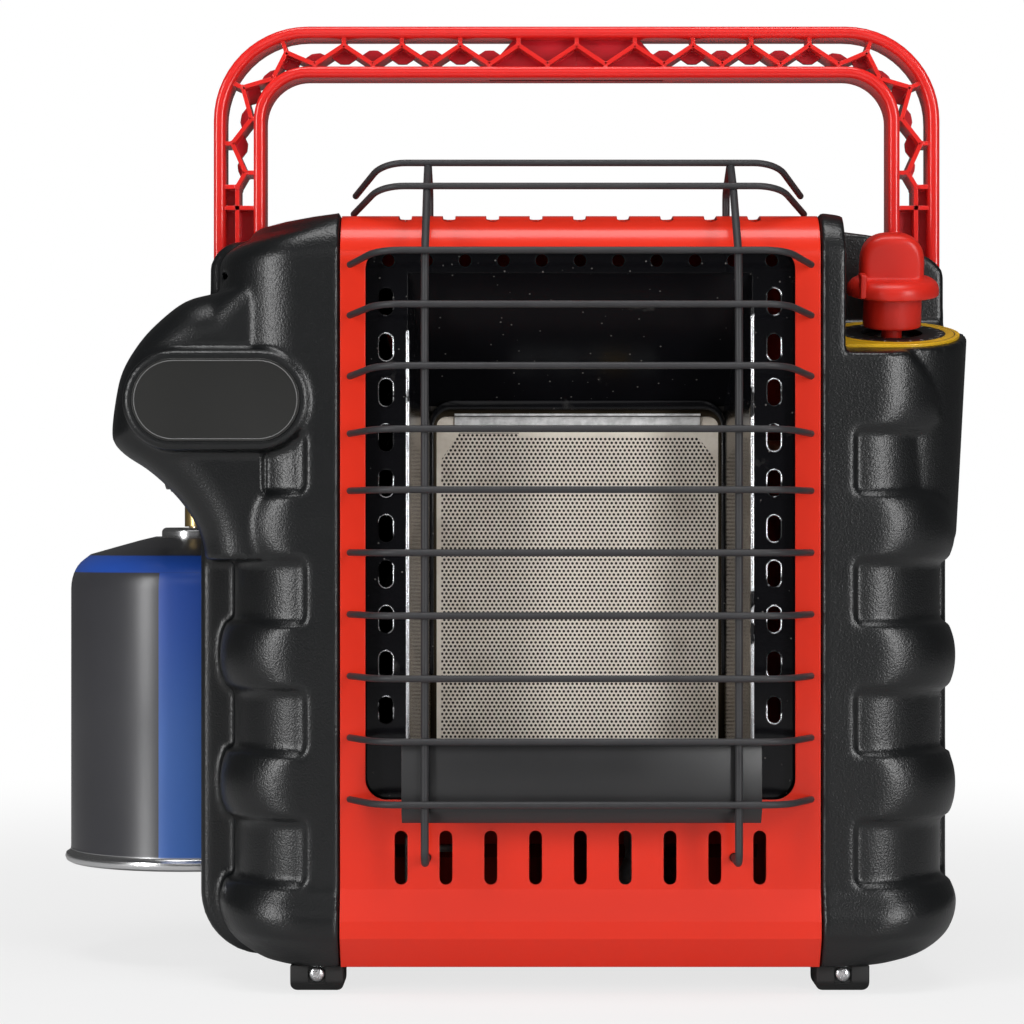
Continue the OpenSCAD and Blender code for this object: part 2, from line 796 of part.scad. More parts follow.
// The reflector: a pan behind the window and a funnel that narrows to the tile
pan_half = window_w / 2 + 4;
pan_low = window_low - 3;
pan_high = window_high + 3;
pan_y = 6;
mouth_half = 66;
mouth_low = tile_z - 14;
mouth_high = window_high - 9;
throat_half = tile_w / 2 + 1;
throat_low = tile_z - 1;
throat_high = tile_z + tile_h + 2;
funnel_t = 0.8;
side_slot_n = 10;
side_slot_pitch = 17.4;
side_slot_x = 74.4;
rim_hole_n = 11;
rim_hole_pitch = 14.7;

module reflector_surround() place() color("#1b1c1e") difference() {
    intersection() {
        along_y(sheet_t, pan_y + sheet_t)
            rounded([-pan_half, pan_low], [pan_half, pan_high], window_r);
        along_x(-half, half) case_form(sheet_t + seam);
    }
    along_y(sheet_t - 1, pan_y)
        rounded([-pan_half + sheet_t, pan_low + sheet_t],
                [pan_half - sheet_t, pan_high - sheet_t], window_r - sheet_t);
    along_y(0, pan_y + 5)
        translate([-mouth_half, mouth_low]) square([2 * mouth_half, mouth_high - mouth_low]);
    for (s = [-1, 1], i = [0 : side_slot_n - 1])
        along_y(0, pan_y + 5)
            translate([s * side_slot_x, window_high - 20 - i * side_slot_pitch])
                slot2d(5, 10);
    for (i = [0 : rim_hole_n - 1])
        translate([(i - (rim_hole_n - 1) / 2) * rim_hole_pitch, 0, window_high - 4.2])
            rotate([-90, 0, 0]) cylinder(d = 4.6, h = 20);
}

// The funnel's outline seen from above and from the side, grown by a wall
module funnel_plan(t) {
    y0 = pan_y + sheet_t;
    polygon([[-mouth_half - t, y0], [mouth_half + t, y0],
             [throat_half + t, tile_y - 2], [-throat_half - t, tile_y - 2]]);
}

module funnel_side(t) {
    y0 = pan_y + sheet_t;
    polygon([[y0, mouth_low - t], [tile_y - 2, throat_low - t],
             [tile_y - 2, throat_high + t], [y0, mouth_high + t]]);
}

module reflector_funnel() place() color("#2a2b2d") difference() {
    intersection() {
        along_z(0, case_top) funnel_plan(funnel_t);
        along_x(-half, half) funnel_side(funnel_t);
    }
    intersection() {
        along_z(0, case_top) funnel_plan(0);
        along_x(-half, half) funnel_side(0);
    }
    for (hole = [[pilot_x, 3], [flame_x, probe_d], [spark_x, insulator_d]])
        translate([hole[0], pilot_y, mouth_low - 5]) cylinder(d = hole[1] + 2 * hole_play, h = 10);
}

// Polished plates laid on the funnel's side walls, beside the tile
module side_reflectors() place() color("#cfd3d6")
    intersection() {
        along_z(tile_z + 1, tile_z + tile_h) difference() {
            funnel_plan(0);
            funnel_plan(-0.6);
        }
        along_x(-half, half) funnel_side(0);
        for (s = [-1, 1])
            translate([s * 63 - 6, pan_y + sheet_t + 1, 0])
                cube([12, tile_y - 4 - pan_y - sheet_t, case_top]);
    }

module burner_tile() place() color("#dcd5c6")
    along_y(tile_y, tile_y + tile_t)
        rounded([-tile_w / 2, tile_z], [tile_w / 2, tile_z + tile_h], 6);

frame_back = tile_y + tile_t + 1;
module tile_frame() place() color("#b4b7ba") difference() {
    along_y(tile_y - 2, frame_back)
        rounded([-tile_w / 2 - 5, tile_z - 5], [tile_w / 2 + 5, tile_z + tile_h + 6], 8);
    along_y(tile_y, frame_back + 1)
        rounded([-tile_w / 2 - 2, tile_z - 2], [tile_w / 2 + 2, tile_z + tile_h + 2], 7);
    along_y(tile_y - 5, tile_y + 1)
        rounded([-tile_w / 2 + 1, tile_z + 1], [tile_w / 2 - 1, tile_z + tile_h - 1], 5);
}

module tile_gasket() place() color("#e8e4da") difference() {
    along_y(tile_y, tile_y + tile_t)
        rounded([-tile_w / 2 - 2, tile_z - 2], [tile_w / 2 + 2, tile_z + tile_h + 2], 7);
    along_y(tile_y - 1, tile_y + tile_t + 1)
        rounded([-tile_w / 2, tile_z], [tile_w / 2, tile_z + tile_h], 6);
}

clip_half = 49;
module clip_bar() place() color("#c3c8cb") {
    top = tile_z + tile_h - 1;
    translate([-clip_half, tile_y - 1, top - 4.5]) cube([2 * clip_half, 1, 4.5]);
    translate([-clip_half, tile_y - 4, top - 0.8]) cube([2 * clip_half, 3.5, 0.8]);
}

// The plenum spreads the gas and air over the back of the tile
plenum_back = frame_back + plenum_d;
venturi_x = 28;
venturi_y = frame_back + plenum_d / 2;
venturi_d = 17;
venturi_low = 34;
plenum_low = tile_z - 2;
module plenum_box() place() color("#a9adb0") difference() {
    along_y(frame_back, plenum_back)
        rounded([-tile_w / 2 - 3, plenum_low], [tile_w / 2 + 3, tile_z + tile_h + 3], 8);
    along_y(frame_back - 1, plenum_back - sheet_t)
        rounded([-tile_w / 2 - 2, plenum_low + 1], [tile_w / 2 + 2, tile_z + tile_h + 2], 7);
    translate([venturi_x, venturi_y, plenum_low - 1]) cylinder(d = venturi_d, h = 4);
}

// The mixing tube with its bell mouth, open at the side for air
module venturi() place() color("#9ea2a6")
    translate([venturi_x, venturi_y, venturi_low]) difference() {
        union() {
            cylinder(d = venturi_d, h = plenum_low - venturi_low);
            cylinder(d1 = venturi_d + 8, d2 = venturi_d, h = 10);
        }
        translate([0, 0, 2]) cylinder(d = venturi_d - 2, h = plenum_low);
        translate([0, 0, -1]) cylinder(d = jet_d, h = 4);
        for (a = [0, 90])
            rotate([90, 0, a]) translate([0, 12, -20]) cylinder(d = 7, h = 40);
    }

jet_d = 7;
jet_low = 20;
module gas_jet() place() color("#c9a24b")
    translate([venturi_x, venturi_y, jet_low]) difference() {
        union() {
            rotate(30) cylinder(d = 10, h = 8, $fn = 6);
            cylinder(d = jet_d, h = venturi_low - jet_low + 5);
        }
        translate([0, 0, 6]) cylinder(d = 0.8, h = venturi_low);
    }

// The knob's place: local +Z runs along the knob's axis, up from the ledge
module at_knob() {
    translate([knob_x, knob_y, ledge_z]) rotate([knob_lean, 0, 0]) children();
}

// A point below the ledge on the knob's axis
function on_knob(h) = [knob_x, knob_y - h * sin(knob_lean), ledge_z + h * cos(knob_lean)];

valve_d = 26;
valve_flange_d = 30;
valve_top = -panel_t;
valve_l = 34;
neck_d = stem_d + 4;
plate_t = 1.2;
skirt_d = 22.8;
skirt_h = 12.7;
knob_low = knob_travel - 0.4;
socket_d = 15;
socket_h = 4.4;
washer_d = stem_d + 5;
washer_t = 0.8;
washer_z = knob_low + socket_h - washer_t - 0.3;
flange_h = 7;
grip_h = 17.5;
grip_w = 25.5;
grip_t = 13;
module valve_body() place() color("#c9a24b") at_knob() difference() {
    union() {
        translate([0, 0, valve_top - valve_l]) cylinder(d = valve_d, h = valve_l);
        translate([0, 0, valve_top - 3]) cylinder(d = valve_flange_d, h = 3);
        translate([0, 0, valve_top - 1]) cylinder(d = neck_d, h = 3);
    }
    translate([0, 0, valve_top - 14]) cylinder(d = stem_d + 0.12, h = 30);
}

module dial_plate() place() color("#17181a") at_knob() difference() {
    cylinder(r = dial_r, h = plate_t, $fn = 96);
    translate([0, 0, -1]) cylinder(d = skirt_d + 1.2, h = 4);
}

module valve_nut() place() color("#b9bcc0") at_knob()
    translate([0, 0, valve_top]) difference() {
        cylinder(d = neck_d + 8, h = 1.8, $fn = 6);
        translate([0, 0, -1]) cylinder(d = neck_d + 0.6, h = 4);
    }

// The washer rides up and down with the stem, inside the knob's skirt
module spindle_washer() place() color("#b9bcc0") at_knob()
    translate([0, 0, washer_z]) difference() {
        cylinder(d = washer_d, h = washer_t);
        translate([0, 0, -1]) cylinder(d = stem_d + 0.12, h = 3);
    }

module knob() place() color("#e1301c") at_knob() {
    flange_z = knob_low + skirt_h;
    grip_z = flange_z + flange_h;
    translate([0, 0, knob_low]) difference() {
        cylinder(d = skirt_d, h = skirt_h + 0.1);
        translate([0, 0, -1]) cylinder(d = socket_d, h = socket_h + 1);
    }
    translate([0, 0, flange_z]) cylinder(d = knob_d, h = flange_h, $fn = 96);
    intersection() {
        translate([0, 0, grip_z - 0.1]) rotate([90, 0, 0]) translate([0, 0, -grip_t / 2])
            linear_extrude(grip_t) {
                translate([-grip_w / 2, 0]) square([grip_w, grip_h - grip_w * 0.36]);
                intersection() {
                    translate([0, grip_h - grip_w / 2]) circle(d = grip_w);
                    translate([-grip_w / 2, 0]) square([grip_w, grip_h]);
                }
            }
        cylinder(d = grip_w, h = 60);
    }
    translate([-8, -knob_d / 2 + 0.4, flange_z + 0.5]) cube([2.2, 4, flange_h + 4]);
    translate([0, 0, valve_top - 9])
        cylinder(d = stem_d, h = knob_low + socket_h - valve_top + 10);
}

// The pipes inside the case
joint_x = can_x - 15;
supply_x = joint_x - 20;
cross_y = can_y + 8;
valve_low = valve_top - valve_l;
valve_mid = on_knob(valve_low + 8);
valve_end = on_knob(valve_low - 0.3);
valve_side = [0, cos(knob_lean), sin(knob_lean)];
module supply_pipe() place() color("#b87333")
    rod([[-supply_x, can_y, swivel_z], [-supply_x + 12, can_y, swivel_z],
         [-supply_x + 20, cross_y, swivel_z], [knob_x - 26, cross_y, swivel_z],
         [knob_x, can_y - 18, swivel_z], valve_mid + 40 * valve_side,
         valve_mid + (valve_d / 2 + 0.1) * valve_side], pipe_d, 12, 12);

module burner_pipe() place() color("#b87333")
    rod([valve_end, valve_end + [0, 5, -18], [knob_x - 10, venturi_y, 60],
         [knob_x - 26, venturi_y, jet_low + 4], [venturi_x + 4.4, venturi_y, jet_low + 4]],
        pipe_d - 2, 10, 12);

pilot_x = 22;
pilot_y = 18;
pilot_z = 80.2;
flame_x = pilot_x - 16;
spark_x = pilot_x - 36;
probe_d = 4;
insulator_d = 5;
module pilot_pipe() place() color("#b87333")
    rod([valve_end + [-9, 0, 0], valve_end + [-9, 3, -20], [knob_x - 30, 30, 66],
         [pilot_x, pilot_y, 62], [pilot_x, pilot_y, pilot_z - 0.1]], 3);

module pilot_bracket() place() color("#b4b7ba") difference() {
    union() {
        translate([pilot_x - 48, pilot_y - 7, pilot_z]) cube([64, 10, 1.2]);
        translate([pilot_x - 48, pilot_y - 7, pilot_z - 2.6]) cube([64, 1.2, 3]);
    }
    translate([flame_x, pilot_y, pilot_z - 1]) cylinder(d = probe_d + 0.1, h = 4);
    translate([spark_x, pilot_y, pilot_z - 1]) cylinder(d = insulator_d + 0.1, h = 4);
}

module pilot_burner() place() color("#c9a24b")
    translate([pilot_x, pilot_y, pilot_z + 1.2]) difference() {
        union() {
            cylinder(d = 10, h = 4, $fn = 6);
            cylinder(d = 7, h = 10);
            translate([-8, -3.5, 9]) cube([11, 7, 1]);
        }
        translate([0, 0, 5]) rotate([0, -90, 0]) cylinder(d = 3, h = 8);
    }

module thermocouple() place() color("#b87333") {
    translate([flame_x, pilot_y, pilot_z - 6]) cylinder(d = probe_d, h = 17);
    translate([flame_x, pilot_y, pilot_z + 11]) sphere(d = probe_d);
}

module spark_electrode() place() color("#eceae4") {
    translate([spark_x, pilot_y, pilot_z - 8]) cylinder(d = insulator_d, h = 15);
    translate([spark_x, pilot_y, pilot_z + 6.5]) cylinder(d = 1.6, h = 3);
    translate([spark_x, pilot_y, pilot_z + 9]) rotate([0, 80, 0])
        cylinder(d = 1.6, h = 15);
}

// The plate that keeps the burner's heat off the back panel, on four spacers
shield_y = plenum_back + 10;
module heat_shield() place() color("#a9adb0") difference() {
    union() {
        translate([-70, shield_y, 58]) cube([140, sheet_t, 184]);
        for (x = [-62, 62], z = [66, 234])
            translate([x, shield_y, z]) rotate([-90, 0, 0])
                cylinder(d = 8, h = case_d - sheet_t - shield_y);
    }
}

// Everything that swings with the canister turns about this line
module at_swivel() {
    translate([-can_x, can_y, swivel_z]) rotate([0, 90, 0]) children();
}

spigot_d = 9;
module swivel_joint() place() color("#b9bcc0") at_swivel() {
    translate([0, 0, 15.3]) cylinder(d = 16, h = 19.7);
    translate([0, 0, 8]) cylinder(d = spigot_d, h = 10);
}

module regulator_body() place() color("#a3a7ab") difference() {
    union() {
        at_swivel() translate([0, 0, -13]) cylinder(r = regulator_r - 1, h = 28);
        at_swivel() translate([0, 0, -11]) cylinder(r = regulator_r, h = 5);
    }
    at_swivel() translate([0, 0, 7]) cylinder(d = spigot_d + 0.12, h = 20);
    translate([-can_x, can_y, swivel_z - regulator_r - 5]) cylinder(d = inlet_d, h = 13);
}

module regulator_cap() place() color("#2d2f31") at_swivel()
    translate([0, 0, -18]) difference() {
        cylinder(r = 9, h = 5);
        translate([0, 0, -1]) cylinder(r = 6, h = 2);
        for (a = [0 : 30 : 330]) rotate(a)
            translate([9.5, 0, -1]) cylinder(d = 2, h = 7, $fn = 16);
    }

inlet_top = swivel_z - regulator_r + 8;
stub_d = 7.4;
module gas_inlet() place() color("#c9a24b")
    translate([-can_x, can_y, inlet_bottom + 0.4]) difference() {
        cylinder(d = inlet_d, h = inlet_top - inlet_bottom - 0.4);
        translate([0, 0, -1]) cylinder(d = stub_d + 0.2, h = 10);
    }

module canister() place() color("#22262b") translate([-can_x, can_y, 0])
    rotate_extrude($fn = 128) difference() {
        union() {
            translate([0, can_z + 2]) square([can_r, can_top - 14 - can_z - 2]);
            translate([0, can_top - 14]) square([can_r - 14, 14]);
            intersection() {
                translate([can_r - 14, can_top - 14]) circle(r = 14);
                translate([0, can_top - 14]) square([can_r, 14]);
            }
            translate([can_r - 2, can_z + 2]) circle(r = 2 + rim_r - can_r, $fn = 32);
        }
        translate([-1, can_z + 4]) square([can_r + 1 - can_t, can_top - 18 - can_z]);
        translate([-1, can_z - 3]) square([can_r - 3, 6]);
        translate([-1, can_top - 14.1]) square([can_r - 13, 14.1 - can_t]);
        intersection() {
            translate([can_r - 14, can_top - 14]) circle(r = 14 - can_t);
            translate([0, can_top - 14.1]) square([can_r, 14.1 - can_t]);
        }
        translate([-1, can_top - 5]) square([collar_r - 1, 6]);
        translate([-20, can_z - 5]) square([20, 200]);
    }

// The pressed cup that closes the canister, with its rolled collar and stub
module valve_cup() place() color("#c3c8cb") translate([-can_x, can_y, 0]) {
    rotate_extrude() difference() {
        union() {
            translate([collar_r - 1.8, can_top]) square([1.8, inlet_bottom - can_top - 1.6]);
            translate([0, inlet_bottom - 4]) square([collar_r - 1, 1]);
            intersection() {
                translate([collar_r - 2, inlet_bottom - 2]) circle(r = 2);
                square([collar_r + 2, 300]);
            }
        }
        translate([-20, 0]) square([20, 300]);
    }
    translate([0, 0, inlet_bottom - 3.5]) cylinder(d = stub_d, h = 11.5);
}

// The tip-over switch: a bracket with a pin, and a weight that hangs from it
tip_x = 31.7 - half;
tip_y = 120;
tip_z = 44;
tip_pin_d = 3;
module tip_switch() place() color("#d9d6cc") {
    floor_z = base_z + sheet_t;
    translate([tip_x - 12, tip_y - 9, floor_z]) cube([24, 18, 2]);
    for (s = [-1, 1])
        translate([tip_x + s * 10 - 1, tip_y - 5, floor_z + 1])
            cube([2, 10, tip_z - floor_z + 4]);
    translate([tip_x - 10, tip_y, tip_z]) rotate([0, 90, 0])
        cylinder(d = tip_pin_d, h = 20);
}

module tip_pendulum() place() color("#8c8f92") difference() {
    translate([tip_x, tip_y, tip_z]) {
        rotate([0, 90, 0]) translate([0, 0, -3]) cylinder(d = 7, h = 6);
        translate([-1, -1.5, -18]) cube([2, 3, 16]);
        translate([-5, -5, -26]) cube([10, 10, 9]);
    }
    translate([tip_x - 6, tip_y, tip_z]) rotate([0, 90, 0])
        cylinder(d = tip_pin_d + 0.12, h = 12);
}

// The feet and where they stand, each with the way that its screw faces
front_foot_x = panel_in + foot_w / 2 - 1;
rear_foot_x = half - foot_w / 2;
foot_places = [[-front_foot_x, 22, -1], [front_foot_x, 22, -1],
               [-rear_foot_x, case_d - 20, 1], [rear_foot_x, case_d - 20, 1]];
module feet() place() color("#1e1f21")
    for (f = foot_places)
        translate([f[0], f[1], 0]) difference() {
            along_x(-foot_w / 2, foot_w / 2)
                polygon([[-foot_l / 2 + 2.5, 0], [foot_l / 2 - 2.5, 0],
                         [foot_l / 2, 3.5], [foot_l / 2, base_z],
                         [-foot_l / 2, base_z], [-foot_l / 2, 3.5]]);
            translate([0, f[2] * foot_l / 2, base_z - 3.4]) rotate([90, 0, 0])
                cylinder(d = 3, h = 12, center = true);
        }

module foot_screws() place() color("#c3c8cb")
    for (f = foot_places)
        translate([f[0], f[1] + f[2] * foot_l / 2, base_z - 3.4])
            rotate([-90 * f[2], 0, 0]) screw(6, 3, 5.5);

module back_screws() place() color("#c3c8cb")
    for (p = back_screw_places)
        translate([p[0], case_d, p[1]]) rotate([-90, 0, 0]) screw(7, back_screw_d, 4);

module panel_screws() place() color("#3a3b3d")
    for (s = [-1, 1], z = panel_screw_z)
        translate([s * panel_screw_x, case_d, z]) rotate([-90, 0, 0])
            screw(5.5, panel_screw_d, 4);

front_case();
back_panel();
base_plate();
left_end_panel();
right_end_panel();
badge_plate();
handle();
handle_pivots();
guard_cross_wires();
guard_uprights();
shield_plate();
reflector_surround();
reflector_funnel();
side_reflectors();
burner_tile();
tile_frame();
clip_bar();
tile_gasket();
plenum_box();
venturi();
gas_jet();
burner_pipe();
pilot_pipe();
supply_pipe();
valve_body();
valve_nut();
dial_plate();
spindle_washer();
knob();
pilot_bracket();
pilot_burner();
thermocouple();
spark_electrode();
heat_shield();
swivel_joint();
regulator_body();
regulator_cap();
gas_inlet();
canister();
valve_cup();
tip_switch();
tip_pendulum();
feet();
foot_screws();
back_screws();
panel_screws();
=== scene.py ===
import math

import bpy
from mathutils import Matrix, Vector


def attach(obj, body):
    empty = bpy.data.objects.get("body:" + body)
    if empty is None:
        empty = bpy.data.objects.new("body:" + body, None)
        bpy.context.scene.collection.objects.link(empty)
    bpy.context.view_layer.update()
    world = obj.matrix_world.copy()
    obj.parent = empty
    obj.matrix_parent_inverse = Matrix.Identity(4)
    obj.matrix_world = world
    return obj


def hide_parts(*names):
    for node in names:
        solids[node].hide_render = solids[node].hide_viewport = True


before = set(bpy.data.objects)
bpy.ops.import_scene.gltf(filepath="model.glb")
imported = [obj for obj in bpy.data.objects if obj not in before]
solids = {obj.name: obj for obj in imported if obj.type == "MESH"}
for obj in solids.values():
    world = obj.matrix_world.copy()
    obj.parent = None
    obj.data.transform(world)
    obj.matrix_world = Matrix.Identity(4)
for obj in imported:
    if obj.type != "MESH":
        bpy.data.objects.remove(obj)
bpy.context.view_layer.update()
scene = bpy.context.scene
scene.view_settings.view_transform = "Standard"

# The studio: a pale floor, a big lamp over the heater, a tall one on each side, a faint one
# over the camera, and a level camera a little over a metre in front of the red case. The
# white all round is for the camera only, and adds no light of its own.
eye = bpy.data.cameras.new("camera")
eye.lens = 106.9
eye.sensor_width = 36.0
eye.shift_y = 0.0322
camera = bpy.data.objects.new("camera", eye)
camera.location = (0.0043, -1.23225, 0.1717)
camera.rotation_euler = (math.pi / 2, 0, 0)
scene.collection.objects.link(camera)
scene.camera = camera


class Shade:
    """A value on its way through a material; sums and products of it wire up Math nodes."""

    def __init__(self, tree, socket=None):
        self.tree = tree
        self.socket = socket

    def node(self, kind, settings=None, inputs=None, output=0):
        """Adds a node of any other kind: its settings first, then what its sockets hold."""
        made = self.tree.nodes.new("ShaderNode" + kind)
        for name, value in (settings or {}).items():
            if name == "stops":
                ramp = made.color_ramp.elements
                while len(ramp) < len(value):
                    ramp.new(0.5)
                for stop, (place, colour) in zip(ramp, value):
                    stop.position = place
                    stop.color = colour if len(colour) == 4 else (*colour, 1)
            else:
                setattr(made, name, value)
        for name, value in (inputs or {}).items():
            if isinstance(value, Shade):
                self.tree.links.new(value.socket, made.inputs[name])
            else:
                made.inputs[name].default_value = value
        return Shade(self.tree, made.outputs[output])

    def math(self, operation, *values):
        return self.node("Math", {"operation": operation}, dict(enumerate(values)))

    def __add__(self, other):
        return self.math("ADD", self, other)

    def __sub__(self, other):
        return self.math("SUBTRACT", self, other)

    def __rsub__(self, other):
        return self.math("SUBTRACT", other, self)

    def __mul__(self, other):
        return self.math("MULTIPLY", self, other)

    def __truediv__(self, other):
        return self.math("DIVIDE", self, other)

    __radd__ = __add__
    __rmul__ = __mul__

    def step(self, low, high):
        """0 below one value and 1 above another, with a smooth rise between them."""
        settings = {"interpolation_type": "SMOOTHSTEP"}
        return self.node("MapRange", settings, {0: self, 1: low, 2: high})

    def blend(self, low, high):
        """A colour that runs from one to another as this value runs from 0 to 1."""
        settings = {"data_type": "RGBA"}
        return self.node("Mix", settings, {0: self, 6: low, 7: high}, 2)

    def to(self, shader, name):
        """Links this value to a socket of a shader."""
        self.tree.links.new(self.socket, shader.inputs[name])


def tinted(colour, factor):
    """A colour made darker or lighter."""
    return (*[min(1.0, max(0.0, part * factor)) for part in colour[:3]], 1)


def new_finish(name, colour, roughness, **constants):
    """A material, its shader with constants on its own sockets, and the place on a piece."""
    material = bpy.data.materials.new(name)
    material.use_nodes = True
    shader = material.node_tree.nodes["Principled BSDF"]
    shader.inputs["Base Color"].default_value = (*colour[:3], 1)
    shader.inputs["Roughness"].default_value = roughness
    for socket, value in constants.items():
        shader.inputs[socket.replace("_", " ")].default_value = value
    return material, shader, Shade(material.node_tree).node("TexCoord", output=3)


def noise(place, scale, detail):
    """A cloudy pattern over the places on a piece."""
    return place.node("TexNoise", None, {"Vector": place, "Scale": scale, "Detail": detail})


def paint(piece, material):
    """Makes one material the only one on a piece."""
    piece.data.materials.clear()
    piece.data.materials.append(material)


def for_camera(start):
    """1 for what the camera sees, straight or through something clear, and 0 for the rest."""
    seen, through = start.node("LightPath"), start.node("LightPath", output=6)
    return seen.math("MAXIMUM", seen, through)


def seen_white(material, share):
    """Gives a material its own white for the camera, by a share of it."""
    tree = material.node_tree
    start = Shade(tree)
    glow = start.node("Emission", None, {"Color": (1, 1, 1, 1), "Strength": 1.0})
    lit = Shade(tree, tree.nodes["Principled BSDF"].outputs[0])
    mixed = start.node("MixShader", None, {0: for_camera(start) * share, 1: lit, 2: glow})
    mixed.to(tree.nodes["Material Output"], "Surface")


bpy.ops.mesh.primitive_plane_add(size=12, location=(0, 0, 0))
floor = bpy.context.object
floor.name = "floor"
floor_paint, floor_skin, place = new_finish("floor_paint", (0.86, 0.86, 0.86), 0.9)
dust = noise(place, 6.0, 3.0)
dust.blend((0.68, 0.68, 0.68, 1), (0.72, 0.72, 0.72, 1)).to(floor_skin, "Base Color")
far = place.node("VectorMath", {"operation": "LENGTH"}, {0: place}, 1)
near_white, near, away = 0.76, 0.25, 1.1
seen_white(floor_paint, near_white + (1 - near_white) * far.step(near, away))
paint(floor, floor_paint)

world = bpy.data.worlds.new("studio_air")
world.use_nodes = True
scene.world = world
air = world.node_tree
backdrop = Shade(air)
open_air = backdrop.node("Background", None, {"Color": (1, 1, 1, 1), "Strength": 0.07})
white = backdrop.node("Background", None, {"Color": (1, 1, 1, 1), "Strength": 1.0})
mixed = backdrop.node("MixShader", None, {0: for_camera(backdrop), 1: open_air, 2: white})
mixed.to(air.nodes["World Output"], "Surface")

lamps = {
    "top_lamp": ((0.0, -0.6, 1.9), (0.0, 0.0, 0.2), (1.3, 0.7), 18),
    "left_lamp": ((-1.5, -1.5, 0.45), (0.0, 0.0, 0.18), (0.4, 1.5), 25),
    "right_lamp": ((1.2, -1.75, 0.45), (0.0, 0.0, 0.18), (0.4, 1.5), 25),
    "low_lamp": ((0.0, -2.4, 1.15), (0.0, 0.0, 0.15), (1.6, 0.4), 2),
}
for name, (spot, aim, (width, height), power) in lamps.items():
    lamp = bpy.data.lights.new(name, "AREA")
    lamp.shape = "RECTANGLE"
    lamp.size = width
    lamp.size_y = height
    lamp.energy = power
    stand = bpy.data.objects.new(name, lamp)
    stand.location = spot
    stand.rotation_euler = (Vector(aim) - Vector(spot)).to_track_quat("-Z", "Y").to_euler()
    scene.collection.objects.link(stand)


# The red case: a wrapped sheet of 1 mm steel and a screwed-on back, both in gloss powder
# coat, whose melted grains leave a faint ripple.
def rippled(height_map, distance, edge=None, strength=1.0):
    """A fine relief for the shader's normal, over softened edges where they are given."""
    sockets = {"Height": height_map, "Distance": distance, "Strength": strength}
    if edge:
        sockets["Normal"] = height_map.node("Bevel", {"samples": 4}, {"Radius": edge})
    return height_map.node("Bump", None, sockets)


def dress(material, *names):
    """Gives a finish to pieces that keep the form they are loaded with."""
    for name in names:
        for slot in solids[name].material_slots:
            slot.material = material


def powder_coat(name, colour):
    coat, skin, place = new_finish(
        name, colour, 0.3, Coat_Weight=0.25, Coat_Roughness=0.06, Specular_IOR_Level=0.3
    )
    cloud = noise(place, 9.0, 2.0)
    cloud.blend(tinted(colour, 0.94), tinted(colour, 1.05)).to(skin, "Base Color")
    peel = noise(place, 420.0, 1.0)
    (0.27 + 0.08 * cloud).to(skin, "Roughness")
    rippled(peel, 0.00004, 0.0009, 0.35).to(skin, "Normal")
    return coat


red = (0.74, 0.026, 0.008)
dress(powder_coat("red_powder_coat", red), "front_case")
dress(powder_coat("red_powder_coat_back", tinted(red, 0.85)), "back_panel")


# The end panels: hollow mouldings in fine-grained black plastic, one a mirror of the other
# but for the hood over the regulator and the housing of the gas valve. Finger recesses
# run round the front corner of each, with a swollen rib between every two.
case_x, case_y = 30.4, -72.25


def at(x, y, z):
    """A point in millimetres from the foot of the middle of the case's face."""
    return Vector((x + case_x, y + case_y, z)) / 1000


def only(piece, *others):
    """Selects a piece, and others with it, and makes it the active one."""
    bpy.ops.object.select_all(action="DESELECT")
    for each in (piece, *others):
        each.select_set(True)
    bpy.context.view_layer.objects.active = piece


def smooth(piece, degrees):
    """Shades a piece smooth, but for edges that turn by more than an angle."""
    only(piece)
    bpy.ops.object.shade_smooth_by_angle(angle=math.radians(degrees))


def own_copy(piece):
    """A copy of a piece, with a mesh of its own."""
    twin = piece.copy()
    twin.data = piece.data.copy()
    scene.collection.objects.link(twin)
    return twin


def outward(piece):
    """Turns every face of a closed form outwards."""
    only(piece)
    bpy.ops.object.mode_set(mode="EDIT")
    bpy.ops.mesh.select_all(action="SELECT")
    bpy.ops.mesh.normals_make_consistent(inside=False)
    bpy.ops.object.mode_set(mode="OBJECT")


def apply_modifier(piece, kind, **settings):
    """Puts a modifier on a piece and makes its result the piece's mesh."""
    only(piece)
    made = piece.modifiers.new(kind.lower(), kind)
    for name, value in settings.items():
        setattr(made, name, value)
    bpy.ops.object.modifier_apply(modifier=made.name)


def bevel(piece, radius, segments, angle=30):
    """Rounds a piece's edges that turn by more than an angle, by a radius in millimetres."""
    apply_modifier(piece, "BEVEL", width=radius / 1000, segments=segments,
                   limit_method="ANGLE", angle_limit=math.radians(angle))


def block(name, low, high):
    """A box between two corners, in millimetres."""
    low, high = at(*low), at(*high)
    bpy.ops.object.select_all(action="DESELECT")
    bpy.ops.mesh.primitive_cube_add(size=1, location=(low + high) / 2)
    piece = bpy.context.object
    piece.name = name
    piece.scale = high - low
    bpy.ops.object.transform_apply(location=True, rotation=True, scale=True)
    return piece


def drum(name, foot, radius, height, lean=0.0, top=None, sides=64):
    """A cylinder or cone, in millimetres, that stands on its foot and leans forwards."""
    bpy.ops.object.select_all(action="DESELECT")
    bpy.ops.mesh.primitive_cone_add(
        vertices=sides,
        radius1=radius / 1000,
        radius2=(radius if top is None else top) / 1000,
        depth=height / 1000,
    )
    piece = bpy.context.object
    piece.name = name
    bpy.ops.object.transform_apply(location=True, rotation=True, scale=True)
    turn = Matrix.Rotation(math.radians(lean), 4, "X")
    rise = Matrix.Translation((0, 0, height / 2000))
    piece.data.transform(Matrix.Translation(at(*foot)) @ turn @ rise)
    return piece


